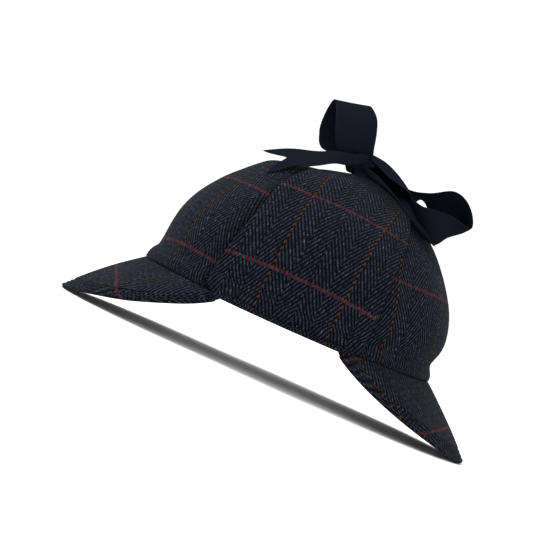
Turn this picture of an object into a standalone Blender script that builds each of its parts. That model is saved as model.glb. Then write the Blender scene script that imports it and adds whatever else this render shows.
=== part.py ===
"""Deerstalker hat: six crown panels, two peaks, two ear flaps tied up over the crown with a ribbon bow.

Frame: +Z up, the front of the hat towards -Y, the wearer's left towards +X. The hat stands on its two
peaks, so the origin lies on the surface that it stands on, midway between the tips of the peaks.
Sizes are in metres and angles in degrees.
"""

import math

import bmesh
import bpy
import numpy as np

# Head opening and crown
HEAD_LENGTH = 0.2010
HEAD_WIDTH = 0.1690
CROWN_WALL = 0.0025
CROWN_HEIGHT = 0.1058
RIM_HEIGHT = 0.0415
RIM_DIP = 0.0013
APEX_BACK = 0.0180
EGG_SHARE = 0.035
PANEL_COUNT = 6
PANEL_PUFF = 0.0010
SEAM_GAP = 0.0009
APEX_HOLE = 0.0022

# Peaks
PEAK_THICKNESS = 0.0035
FRONT_PEAK_REACH = 0.0440
BACK_PEAK_REACH = 0.0432
FRONT_PEAK_GAP = 0.0130
BACK_PEAK_GAP = 0.0036
PEAK_CORNER_REACH = 0.0060
PEAK_BELLY = 0.0014
PEAK_FULLNESS = 0.62
PEAK_CORNER_DROP = 0.0030
PEAK_TUCK = 0.0023
RIM_CLEARANCE = 0.0006
FOOT_FLAT = 0.0005

# Ear flaps
FLAP_THICKNESS = 0.0030
FLAP_CLEARANCE = 0.0005
FLAP_LIFT = 0.0035
FLAP_TIP_GAP = 0.0140
FLAP_LIFT_START = 0.12

# Ribbon bow
RIBBON_WIDTH = 0.0280
RIBBON_THICKNESS = 0.0010
KNOT_SIDE = 0.0050
KNOT_BACK = 0.0080
KNOT_LENGTH = 0.0180
KNOT_WIDTH = 0.0170
KNOT_HEIGHT = 0.0124
KNOT_LIFT = 0.0012
BOW_LEAN = 24.0
RIBBON_CLEARANCE = 0.0012
ROOT_CLEARANCE = 0.0010
TAIL_NOTCH = 0.0130

# Meshes
PANEL_STEPS = 8
PEAK_STEPS_ROUND = 28
PEAK_STEPS_OUT = 5
FLAP_STEPS_ACROSS = 16
FLAP_STEPS_UP = 22
FLAP_FOLD_ROWS = 2
RIBBON_STEPS_ACROSS = 4

# Colours, linear
TWEED_COLOUR = (0.014, 0.016, 0.024, 1.0)
RIBBON_COLOUR = (0.008, 0.010, 0.020, 1.0)

# Rings of the crown from the rim to the apex. Heights are shares of CROWN_HEIGHT above the rim. The front
# and back reaches are shares of the crown's outer half length, and the side reach of its half width.
CROWN_RINGS = (
    dict(height=0.000, front=1.000, back=1.014, side=1.000),
    dict(height=0.040, front=0.993, back=1.009, side=1.002),
    dict(height=0.075, front=0.977, back=0.991, side=0.990),
    dict(height=0.105, front=0.955, back=0.983, side=0.984),
    dict(height=0.145, front=0.946, back=0.995, side=0.992),
    dict(height=0.200, front=0.940, back=1.010, side=1.003),
    dict(height=0.270, front=0.934, back=1.011, side=1.006),
    dict(height=0.365, front=0.917, back=0.989, side=0.998),
    dict(height=0.460, front=0.879, back=0.949, side=0.968),
    dict(height=0.555, front=0.824, back=0.888, side=0.914),
    dict(height=0.650, front=0.750, back=0.814, side=0.832),
    dict(height=0.740, front=0.662, back=0.733, side=0.720),
    dict(height=0.820, front=0.578, back=0.642, side=0.602),
    dict(height=0.878, front=0.495, back=0.558, side=0.496),
    dict(height=0.918, front=0.352, back=0.484, side=0.404),
    dict(height=0.950, front=0.178, back=0.416, side=0.314),
    dict(height=0.978, front=0.028, back=0.337, side=0.216),
    dict(height=0.994, front=-0.085, back=0.262, side=0.112),
)

# Outline of an ear flap from the fold at the rim to its tip. The rise is a share of the flap's height
# along the crown, and the front and back reaches are shares of the crown's outer half length.
FLAP_OUTLINE = (
    dict(rise=0.000, front=0.365, back=0.380),
    dict(rise=0.014, front=0.440, back=0.440),
    dict(rise=0.042, front=0.520, back=0.500),
    dict(rise=0.130, front=0.518, back=0.500),
    dict(rise=0.250, front=0.487, back=0.497),
    dict(rise=0.380, front=0.440, back=0.497),
    dict(rise=0.510, front=0.398, back=0.495),
    dict(rise=0.630, front=0.362, back=0.490),
    dict(rise=0.740, front=0.305, back=0.470),
    dict(rise=0.830, front=0.235, back=0.430),
    dict(rise=0.920, front=0.110, back=0.365),
    dict(rise=1.000, front=-0.020, back=0.292),
)

# Ribbons of the bow, each with a row for each section: the places of its two edges, measured from the
# knot's centre in ribbon widths (to the wearer's left, along the bow, up), and how far it bends in degrees.
FRONT_LOOP = (
    dict(left=(0.10, -0.20, 0.26), right=(0.04, 0.12, 0.27), bend=50),
    dict(left=(0.36, -0.70, 0.36), right=(0.10, 0.13, 0.36), bend=10),
    dict(left=(0.56, -0.78, 0.76), right=(0.20, 0.15, 0.76), bend=6),
    dict(left=(0.50, -0.76, 1.22), right=(0.12, 0.16, 1.12), bend=6),
    dict(left=(0.12, -0.80, 1.55), right=(-0.26, 0.06, 1.40), bend=4),
    dict(left=(-0.28, -1.02, 1.22), right=(-0.66, -0.10, 1.12), bend=4),
    dict(left=(-0.36, -1.15, 0.80), right=(-0.74, -0.20, 0.76), bend=6),
    dict(left=(-0.28, -1.06, 0.38), right=(-0.56, -0.14, 0.38), bend=10),
    dict(left=(-0.06, -0.26, 0.27), right=(-0.12, 0.02, 0.27), bend=50),
)
BACK_LOOP = (
    dict(left=(0.20, 0.34, -0.03), right=(-0.12, 0.36, -0.12), bend=-60),
    dict(left=(0.46, 0.72, -0.40), right=(-0.22, 0.78, -0.48), bend=-20),
    dict(left=(0.52, 1.21, -0.88), right=(0.02, 1.20, -1.06), bend=-14),
    dict(left=(0.50, 1.60, -1.10), right=(0.12, 1.56, -1.82), bend=-8),
    dict(left=(0.42, 2.02, -1.33), right=(-0.05, 1.92, -1.74), bend=-8),
    dict(left=(0.20, 2.44, -1.52), right=(-0.60, 2.38, -1.58), bend=-8),
    dict(left=(0.02, 2.50, -1.22), right=(-0.88, 2.24, -1.36), bend=-8),
    dict(left=(-0.20, 2.36, -0.84), right=(-1.02, 1.98, -1.18), bend=-10),
    dict(left=(-0.40, 2.06, -0.63), right=(-1.10, 1.70, -1.04), bend=-12),
    dict(left=(-0.45, 1.50, -0.68), right=(-1.00, 1.30, -0.84), bend=-20),
    dict(left=(-0.34, 0.95, -0.56), right=(-0.78, 0.84, -0.66), bend=-30),
    dict(left=(-0.14, 0.36, -0.06), right=(-0.34, 0.26, -0.16), bend=-60),
)
FRONT_TAIL = (
    dict(left=(0.32, 0.04, 0.24), right=(0.42, 0.00, 0.04), bend=50),
    dict(left=(0.44, -0.35, 0.25), right=(0.56, -0.42, -0.03), bend=50),
    dict(left=(0.60, -0.75, 0.31), right=(0.86, -0.80, 0.01), bend=40),
    dict(left=(0.42, -1.20, 0.31), right=(1.06, -1.20, -0.04), bend=24),
    dict(left=(0.24, -1.85, 0.38), right=(1.02, -1.76, -0.06), bend=16),
    dict(left=(0.12, -2.50, 0.34), right=(0.94, -2.14, -0.07), bend=12),
)
BACK_TAIL = (
    dict(left=(0.20, 0.30, 0.12), right=(0.40, 0.14, -0.20), bend=-80),
    dict(left=(0.40, 0.56, -0.14), right=(0.62, 0.22, -0.46), bend=-120),
    dict(left=(0.56, 0.88, -0.50), right=(0.78, 0.54, -0.86), bend=-100),
    dict(left=(0.72, 1.08, -0.84), right=(0.96, 0.82, -1.14), bend=-50),
    dict(left=(0.76, 1.34, -1.34), right=(1.12, 1.08, -1.54), bend=-20),
    dict(left=(0.70, 1.54, -1.88), right=(1.20, 1.36, -2.02), bend=-10),
)


def clear_scene():
    """Empty the file of its starting objects."""
    for obj in list(bpy.data.objects):
        bpy.data.objects.remove(obj)


def make_collection(name):
    """A new collection linked to the scene."""
    collection = bpy.data.collections.new(name)
    bpy.context.scene.collection.children.link(collection)
    return collection


def make_material(name, colour, roughness):
    """A plain cloth finish."""
    material = bpy.data.materials.new(name)
    material.use_nodes = True
    shader = material.node_tree.nodes["Principled BSDF"]
    shader.inputs["Base Color"].default_value = colour
    shader.inputs["Roughness"].default_value = roughness
    shader.inputs["Metallic"].default_value = 0.0
    return material


def spline(rows, share):
    """The value at a share of the way along a smooth curve through rows of numbers (Catmull-Rom)."""
    rows = np.asarray(rows, float)
    place = np.clip(np.asarray(share, float), 0.0, 1.0) * (len(rows) - 1)
    low = np.minimum(place.astype(int), len(rows) - 2)
    t = (place - low)[..., None]
    before = rows[np.maximum(low - 1, 0)]
    here, there = rows[low], rows[low + 1]
    after = rows[np.minimum(low + 2, len(rows) - 1)]
    pull = (there - before) / 2
    push = (after - here) / 2
    return (
        (2 * t**3 - 3 * t**2 + 1) * here
        + (t**3 - 2 * t**2 + t) * pull
        + (3 * t**2 - 2 * t**3) * there
        + (t**3 - t**2) * push
    )


def unit(vectors):
    """The same directions with a length of one."""
    vectors = np.asarray(vectors, float)
    return vectors / np.linalg.norm(vectors, axis=-1, keepdims=True)


def crown_half_length():
    """Half the outer length of the crown at the rim."""
    return HEAD_LENGTH / 2 + CROWN_WALL


def crown_half_width():
    """Half the outer width of the crown at the rim."""
    return HEAD_WIDTH / 2 + CROWN_WALL


def crown_ring(share):
    """Height, centre, half length and half width of the crown's ring at a share of the way up."""
    half_length = crown_half_length()
    rows = [
        (
            RIM_HEIGHT + ring["height"] * CROWN_HEIGHT,
            -ring["front"] * half_length,
            ring["back"] * half_length,
            ring["side"] * crown_half_width(),
        )
        for ring in CROWN_RINGS
    ]
    rows.append((RIM_HEIGHT + CROWN_HEIGHT, APEX_BACK - APEX_HOLE, APEX_BACK + APEX_HOLE, APEX_HOLE))
    height, front, back, side = np.moveaxis(spline(rows, share), -1, 0)
    return height, (front + back) / 2, (back - front) / 2, side


def crown_point(turn, share):
    """A point of the crown's outer surface. The turn starts at the front and grows to the wearer's left."""
    turn = np.radians(turn)
    height, centre, half_length, half_width = crown_ring(share)
    puff = PANEL_PUFF * np.sin(turn * PANEL_COUNT / 2) ** 2 * np.sin(np.pi * np.clip(share, 0, 1))
    x = (half_width + puff) * np.sin(turn) * (1 - EGG_SHARE * np.cos(turn) * (1 - share))
    y = centre - (half_length + puff) * np.cos(turn)
    z = height - RIM_DIP * np.sin(turn) ** 2 * (1 - share) ** 3
    return np.stack(np.broadcast_arrays(x, y, z), axis=-1)


def crown_normal(turn, share):
    """The outward direction of the crown's surface, from small steps along and up it."""
    turn_step, share_step = 0.2, 0.002
    high = np.minimum(share + share_step, 1.0)
    low = np.maximum(share - share_step, 0.0)
    along = crown_point(turn + turn_step, share) - crown_point(turn - turn_step, share)
    up = crown_point(turn, high) - crown_point(turn, low)
    return unit(np.cross(along, up))


def crown_side_line(y, samples=160):
    """Turns, shares and lengths up the crown's left side in the plane at y, from the rim to the ridge."""
    share = np.linspace(0.0, 1.0, samples)
    _, centre, half_length, _ = crown_ring(share)
    cosine = (centre - y) / half_length
    keep = np.cumprod(np.abs(cosine) < 0.999).astype(bool)
    share, turn = share[keep], np.degrees(np.arccos(cosine[keep]))
    points = crown_point(turn, share)
    steps = np.linalg.norm(np.diff(points, axis=0), axis=1)
    return turn, share, np.concatenate([[0.0], np.cumsum(steps)])


def crown_place(y, length):
    """Turn and share of the crown's left side at y, a given length up from the rim."""
    turns, shares, lengths = crown_side_line(y)
    return np.interp(length, lengths, turns), np.interp(length, lengths, shares)


def flap_height():
    """Length of an ear flap up the crown, from the rim to its tip."""
    tip = FLAP_OUTLINE[-1]
    middle = (tip["back"] - tip["front"]) / 2 * crown_half_length()
    return crown_side_line(middle)[2][-1] - FLAP_TIP_GAP


def surface_object(name, collection, material, place, steps, thickness, offset):
    """A sheet of cloth: a grid bent to place(u, v), with u and v from 0 to 1, given its thickness."""
    mesh = bpy.data.meshes.new(name)
    sheet = bmesh.new()
    bmesh.ops.create_grid(sheet, x_segments=steps[0], y_segments=steps[1], size=0.5)
    for vertex in sheet.verts:
        vertex.co = place(vertex.co.x + 0.5, vertex.co.y + 0.5)
    sheet.to_mesh(mesh)
    sheet.free()
    mesh.materials.append(material)
    mesh.shade_smooth()
    obj = bpy.data.objects.new(name, mesh)
    collection.objects.link(obj)
    wall = obj.modifiers.new("wall", "SOLIDIFY")
    wall.thickness = thickness
    wall.offset = offset
    return obj


def build_crown_panel(name, collection, material, first_turn):
    """One gore of the crown, from the rim to the apex, with a seam's gap on each side."""
    spread = 360 / PANEL_COUNT
    rings = len(CROWN_RINGS)

    def place(u, v):
        middle = crown_point(first_turn + spread / 2, v) - crown_point(first_turn - 180 + spread / 2, v)
        ring_radius = np.linalg.norm(middle) / 2
        trim = math.degrees(SEAM_GAP / 2 / ring_radius)
        return crown_point(first_turn + trim + u * (spread - 2 * trim), v)

    return surface_object(name, collection, material, place, (PANEL_STEPS, rings), CROWN_WALL, -1)


def peak_spread(fold_share, gap):
    """How far a peak runs round the rim to each side, up to a gap from the fold of the ear flaps."""
    return math.degrees(math.acos(fold_share + gap / crown_half_length()))


def build_peak(name, collection, material, cutter, middle_turn, spread, reach):
    """A crescent peak that slopes from under the rim down to the surface that the hat stands on."""
    tuck_share = 1 / PEAK_STEPS_OUT
    slope = math.atan2(RIM_HEIGHT, reach)
    tip_height = PEAK_THICKNESS * math.cos(slope) - FOOT_FLAT
    taper = spread / math.sqrt(1 - (PEAK_CORNER_REACH / reach) ** (1 / PEAK_FULLNESS))

    def place(u, v):
        across = 1 - 2 * u
        turn = middle_turn + across * spread
        root = crown_point(turn, 0.0)
        outward = crown_normal(turn, 0.0) * (1, 1, 0)
        outward = outward / np.linalg.norm(outward)
        drop = RIM_CLEARANCE + PEAK_CORNER_DROP * abs(across) ** 6
        if v < tuck_share:
            inset = PEAK_TUCK * (1 - v / tuck_share)
            return root - outward * inset - np.array((0, 0, drop + inset * math.tan(math.radians(12))))
        out = (v - tuck_share) / (1 - tuck_share)
        span = (1 - (across * spread / taper) ** 2) ** PEAK_FULLNESS
        fall = (root[2] - drop - tip_height) * span
        belly = PEAK_BELLY * math.sin(math.pi * out) * span
        point = root + outward * reach * span * out
        point[2] = root[2] - drop - fall * out + belly
        return point

    peak = surface_object(
        name, collection, material, place, (PEAK_STEPS_ROUND, PEAK_STEPS_OUT), PEAK_THICKNESS, -1
    )
    foot = peak.modifiers.new("foot", "BOOLEAN")
    foot.operation = "DIFFERENCE"
    foot.object = cutter
    return peak


def build_floor_cutter(collection):
    """A slab under the surface that the hat stands on, which flattens the cloth where it rests."""
    depth = 0.02
    size = 2 * (HEAD_LENGTH + FRONT_PEAK_REACH + BACK_PEAK_REACH)
    bpy.ops.mesh.primitive_cube_add(size=1, location=(0, 0, -depth / 2))
    cutter = bpy.context.active_object
    cutter.name = "floor_cutter"
    cutter.data.transform(((size, 0, 0, 0), (0, size, 0, 0), (0, 0, depth, 0), (0, 0, 0, 1)))
    cutter.hide_render = True
    cutter.display_type = "WIRE"
    for owner in list(cutter.users_collection):
        owner.objects.unlink(cutter)
    collection.objects.link(cutter)
    return cutter


def flap_section(row):
    """Rise, inset, depth under the rim and edges of one of the flap's rows, the fold's rows first."""
    half_length = crown_half_length()
    rows = [
        (section["rise"] * flap_height(), -section["front"] * half_length, section["back"] * half_length)
        for section in FLAP_OUTLINE
    ]
    up = max(row - FLAP_FOLD_ROWS, 0) / (FLAP_STEPS_UP - FLAP_FOLD_ROWS)
    rise, front, back = spline(rows, up)
    inset = CROWN_WALL if row == 0 else -FLAP_CLEARANCE
    under = RIM_CLEARANCE if row < FLAP_FOLD_ROWS else 0.0
    return rise, inset, under, front, back, up


def build_flap(name, collection, material, side):
    """An ear flap folded up from the rim and laid against the crown; side is 1 for left, -1 for right."""

    def place(u, v):
        rise, inset, under, front, back, up = flap_section(round(v * FLAP_STEPS_UP))
        across = u if side > 0 else 1 - u
        turn, share = crown_place(front + across * (back - front), rise)
        point = crown_point(turn, share)
        outward = crown_normal(turn, share)
        if rise <= 0:
            outward = unit(outward * (1, 1, 0))
        lift = FLAP_LIFT * (1 - across) ** 4 * min(up / FLAP_LIFT_START, 1.0) * (1 - up) ** 1.5
        point = point + outward * (lift - inset) - np.array((0, 0, under))
        return point * (side, 1, 1)

    steps = (FLAP_STEPS_ACROSS, FLAP_STEPS_UP)
    return surface_object(name, collection, material, place, steps, FLAP_THICKNESS, 1)


def knot_centre():
    """Centre of the bow's knot, which sits on the flaps' tips just above the crown."""
    top = crown_top(KNOT_SIDE, KNOT_BACK)
    stack = FLAP_CLEARANCE + FLAP_THICKNESS + KNOT_LIFT + KNOT_HEIGHT / 2
    return np.array((KNOT_SIDE, KNOT_BACK, top[2] + stack))


def crown_turn_share(x, y):
    """Turn and share of the crown's outer surface above a place seen from above."""
    share = np.linspace(0.25, 1.0, 400)
    _, centre, half_length, half_width = crown_ring(share)
    outside = (x / half_width) ** 2 + ((y - centre) / half_length) ** 2
    found = share[int(np.argmax(outside >= 1))]
    _, centre, half_length, half_width = crown_ring(found)
    turn = math.degrees(math.atan2(x / half_width, (centre - y) / half_length))
    return turn, found


def crown_top(x, y):
    """The point of the crown's outer surface above a place seen from above."""
    return crown_point(*crown_turn_share(x, y))


def bow_place(point):
    """A place in the bow's own frame, in ribbon widths from the knot's centre, as a place on the hat."""
    side, along, up = np.asarray(point) * RIBBON_WIDTH
    cosine, sine = math.cos(math.radians(BOW_LEAN)), math.sin(math.radians(BOW_LEAN))
    return knot_centre() + np.array((side, along * cosine - up * sine, along * sine + up * cosine))


def keep_above_crown(point):
    """The same point, raised where it would lie in the crown or in a flap."""
    stack = FLAP_CLEARANCE + FLAP_THICKNESS + RIBBON_CLEARANCE
    edge = min(HEAD_LENGTH, HEAD_WIDTH) / 2
    if math.hypot(point[0], point[1] - APEX_BACK) > edge:
        return point
    top = crown_top(point[0], point[1])
    slope = max(crown_normal(*crown_turn_share(point[0], point[1]))[2], 0.35)
    return np.array((point[0], point[1], max(point[2], top[2] + stack / slope)))


def build_strip(name, collection, material, rows, steps_along, notch=0.0):
    """A ribbon through sections given by the places of its edges, with an optional notched end."""
    path = np.array([[*bow_place(row["left"]), *bow_place(row["right"]), row["bend"]] for row in rows])
    middles = (path[:, :3] + path[:, 3:6]) / 2
    length = np.linalg.norm(np.diff(middles, axis=0), axis=1).sum()

    def place(u, v):
        shorter = notch / length * (1 - abs(2 * u - 1))
        along = v * (1 - shorter)
        section = spline(path, along)
        ahead = spline(path, min(along + 0.01, 1.0))
        behind = spline(path, max(along - 0.01, 0.0))
        left, right, bend = section[:3], section[3:6], math.radians(section[6]) + 1e-4
        tangent = unit((ahead[:3] + ahead[3:6]) - (behind[:3] + behind[3:6]))
        across = right - left
        normal = unit(np.cross(tangent, across))
        angle = bend * (u - 0.5)
        sagitta = (math.cos(angle) - math.cos(bend / 2)) / (2 * math.sin(bend / 2))
        sideways = 0.5 + math.sin(angle) / (2 * math.sin(bend / 2))
        point = left + across * sideways + normal * sagitta * np.linalg.norm(across)
        return keep_above_crown(point)

    steps = (RIBBON_STEPS_ACROSS, steps_along)
    return surface_object(name, collection, material, place, steps, RIBBON_THICKNESS, 0)


def build_knot(name, collection, material):
    """The tight wrap at the middle of the bow."""
    bpy.ops.mesh.primitive_uv_sphere_add(segments=16, ring_count=10, radius=0.5)
    knot = bpy.context.active_object
    knot.name = name
    knot.data.transform(
        ((KNOT_WIDTH, 0, 0, 0), (0, KNOT_LENGTH, 0, 0), (0, 0, KNOT_HEIGHT, 0), (0, 0, 0, 1))
    )
    knot.location = knot_centre()
    knot.data.materials.append(material)
    knot.data.shade_smooth()
    for owner in list(knot.users_collection):
        owner.objects.unlink(knot)
    collection.objects.link(knot)
    return knot


def build_tie(name, collection, material, side):
    """The ribbon's root: from a flap's tip, as wide as the ribbon, gathered up to the knot."""
    tip = FLAP_OUTLINE[-1]
    half_length = crown_half_length()
    middle = (tip["back"] - tip["front"]) / 2 * half_length
    rise = flap_height() + RIBBON_THICKNESS + FLAP_CLEARANCE
    knot = knot_centre()
    knot_foot = np.array((knot[0] + side * KNOT_WIDTH * 0.28, knot[1], knot[2] - KNOT_HEIGHT / 2))
    steps_along = 4

    def place(u, v):
        across = (u if side > 0 else 1 - u) - 0.5
        turn, share = crown_place(middle + across * RIBBON_WIDTH, rise)
        start = crown_point(turn, share) + crown_normal(turn, share) * (
            FLAP_CLEARANCE + FLAP_THICKNESS / 2
        )
        start = start * (side, 1, 1)
        end = knot_foot + np.array((0, across * KNOT_LENGTH * 0.5, -ROOT_CLEARANCE))
        return start + (end - start) * v

    steps = (RIBBON_STEPS_ACROSS, steps_along)
    return surface_object(name, collection, material, place, steps, RIBBON_THICKNESS, 0)


def centre_hat(*collections):
    """Bring the middle between the peaks' tips over the origin, by one empty that carries every piece."""
    front_tip = crown_point(0.0, 0.0)[1] - FRONT_PEAK_REACH
    back_tip = crown_point(180.0, 0.0)[1] + BACK_PEAK_REACH
    carrier = bpy.data.objects.new("hat_carrier", None)
    collections[0].objects.link(carrier)
    for collection in collections:
        for obj in collection.objects:
            if obj is not carrier:
                obj.parent = carrier
    carrier.location.y = -(front_tip + back_tip) / 2
    bpy.context.view_layer.update()


def main():
    """Build the hat."""
    clear_scene()
    hat = make_collection("deerstalker_hat")
    cutters = make_collection("cutters")
    tweed = make_material("tweed", TWEED_COLOUR, 0.95)
    ribbon = make_material("ribbon", RIBBON_COLOUR, 0.7)

    panel_names = ("front_left", "side_left", "back_left", "back_right", "side_right", "front_right")
    for index, panel_name in enumerate(panel_names):
        build_crown_panel("crown_panel_" + panel_name, hat, tweed, index * 360 / PANEL_COUNT)

    floor_cutter = build_floor_cutter(cutters)
    fold = FLAP_OUTLINE[0]
    front_spread = peak_spread(fold["front"], FRONT_PEAK_GAP)
    back_spread = peak_spread(fold["back"], BACK_PEAK_GAP)
    build_peak("front_peak", hat, tweed, floor_cutter, 0.0, front_spread, FRONT_PEAK_REACH)
    build_peak("back_peak", hat, tweed, floor_cutter, 180.0, back_spread, BACK_PEAK_REACH)

    for side_name, side in (("left", 1), ("right", -1)):
        build_flap("ear_flap_" + side_name, hat, tweed, side)
        build_tie("ribbon_tie_" + side_name, hat, ribbon, side)

    build_knot("bow_knot", hat, ribbon)
    build_strip("bow_loop_front", hat, ribbon, FRONT_LOOP, 28)
    build_strip("bow_loop_back", hat, ribbon, BACK_LOOP, 32)
    build_strip("ribbon_tail_front", hat, ribbon, FRONT_TAIL, 18, TAIL_NOTCH)
    build_strip("ribbon_tail_back", hat, ribbon, BACK_TAIL, 18, TAIL_NOTCH)
    centre_hat(hat, cutters)


main()
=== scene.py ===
"""Looks of a deerstalker hat in navy herringbone tweed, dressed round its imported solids.

Frame: metres, +Z up, the front of the hat towards -Y and the wearer's left towards +X. Every cloth piece is
a closed shell worked out on a grid: an outer surface, its thickness and its rounded edges.
"""

import logging
import math
from dataclasses import dataclass, field
from enum import Enum

import bpy
import numpy as np
from mathutils import Matrix, Vector


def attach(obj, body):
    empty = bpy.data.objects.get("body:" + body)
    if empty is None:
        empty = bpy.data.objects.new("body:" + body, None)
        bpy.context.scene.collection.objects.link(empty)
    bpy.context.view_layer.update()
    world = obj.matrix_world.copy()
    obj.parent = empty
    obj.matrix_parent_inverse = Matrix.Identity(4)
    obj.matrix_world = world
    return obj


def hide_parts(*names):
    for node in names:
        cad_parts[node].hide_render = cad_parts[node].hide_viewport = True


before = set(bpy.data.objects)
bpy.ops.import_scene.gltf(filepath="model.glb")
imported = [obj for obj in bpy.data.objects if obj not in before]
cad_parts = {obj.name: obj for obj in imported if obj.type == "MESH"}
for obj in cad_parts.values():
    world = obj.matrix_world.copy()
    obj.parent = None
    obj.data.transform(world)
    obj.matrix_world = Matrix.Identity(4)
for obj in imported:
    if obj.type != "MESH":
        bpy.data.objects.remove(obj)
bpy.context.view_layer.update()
CLOTH_UV = "cloth"
# Name of the per-vertex attribute of painted shade: the finishes darken a piece's colour by it, in place of
# shadow.
SHADE = "shade"
LOG = logging.getLogger("deerstalker")

# Wavelength and seed of the soft unevenness that the crown and the flaps on it share.
CLOTH_WAVE = 0.045
CLOTH_SEED = 3

Rows = tuple[tuple[float, ...], ...]
Surface = tuple[np.ndarray, np.ndarray]
Socket = bpy.types.NodeSocket


class Side(Enum):
    """A side of the hat, as the sign of its x."""

    LEFT = 1
    RIGHT = -1


def unit(vectors: np.ndarray) -> np.ndarray:
    """Scale vectors to a length of one.

    Args:
        vectors: an array whose last axis holds the vectors.

    Returns:
        The same directions, each divided by its own length.
    """
    return vectors / np.linalg.norm(vectors, axis=-1, keepdims=True)


def smooth_curve(rows: np.ndarray, share: np.ndarray) -> np.ndarray:
    """Read a Catmull-Rom curve through rows of numbers.

    Between two rows the value is a cubic that leaves each of them along the line that joins its neighbours.

    Args:
        rows: one row of numbers for each knot, evenly spaced along the curve.
        share: places along the curve from 0 to 1, of any shape.

    Returns:
        The values at those places, with the numbers of a row on the last axis.
    """
    place = np.clip(np.asarray(share, float), 0.0, 1.0) * (len(rows) - 1)
    low = np.minimum(place.astype(int), len(rows) - 2)
    t = (place - low)[..., None]
    here, there = rows[low], rows[low + 1]
    pull = (there - rows[np.maximum(low - 1, 0)]) / 2
    push = (rows[np.minimum(low + 2, len(rows) - 1)] - here) / 2
    keep = 2 * t**3 - 3 * t**2 + 1
    return keep * here + (t**3 - 2 * t**2 + t) * pull + (1 - keep) * there + (t**3 - t**2) * push


def graded(steps: int, margin: float, margin_steps: int) -> np.ndarray:
    """Spread samples from 0 to 1, closer together near both ends.

    Args:
        steps: samples of the even stretch between the margins.
        margin: length of each margin, as a share of the whole.
        margin_steps: samples in each margin.

    Returns:
        The samples in rising order, 0 and 1 among them.
    """
    near = margin * np.linspace(0.0, 1.0, margin_steps, endpoint=False) ** 1.5
    return np.concatenate([near, np.linspace(margin, 1 - margin, steps), 1 - near[::-1]])


def ripple(points: np.ndarray, wavelength: float, seed: int) -> np.ndarray:
    """Give a soft unevenness: the mean of eight sine waves in seeded directions.

    Args:
        points: places, with x, y and z on the last axis.
        wavelength: the waves' middle length in metres.
        seed: picks the directions, lengths and phases.

    Returns:
        A number from -1 to 1 for each place.
    """
    draw = np.random.default_rng(seed)
    directions = unit(draw.normal(size=(8, 3)))
    waves = 2 * np.pi / (wavelength * draw.uniform(0.6, 1.6, 8))
    phases = draw.uniform(0, 2 * np.pi, 8)
    return np.sin(points @ directions.T * waves + phases).mean(axis=-1) * 1.6


@dataclass(frozen=True)
class Grain:
    """How a piece of tweed was cut: its warp and weft against the piece's own across and along lengths."""

    across_origin: float = 0.0
    along_origin: float = 0.0
    lean: float = 0.0
    bend: float = 0.0
    tilt: float = 0.0
    droop: float = 0.0
    reach: float = 1.0

    def uv(self, across: np.ndarray, along: np.ndarray) -> np.ndarray:
        """Turn lengths on the piece into lengths across the warp and along it.

        The warp line is across less lean times along less bend times its square, and the weft line is along
        plus tilt times across plus droop times its square, which stops growing at the reach.

        Args:
            across: lengths across the piece in metres.
            along: lengths along the piece in metres.

        Returns:
            The two cloth lengths on the last axis.
        """
        warp = across - self.across_origin - self.lean * along - self.bend * along**2
        sag = self.droop * np.minimum(np.abs(across), self.reach) ** 2
        weft = along - self.along_origin + self.tilt * across + sag
        return np.stack(np.broadcast_arrays(warp, weft), axis=-1)


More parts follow.
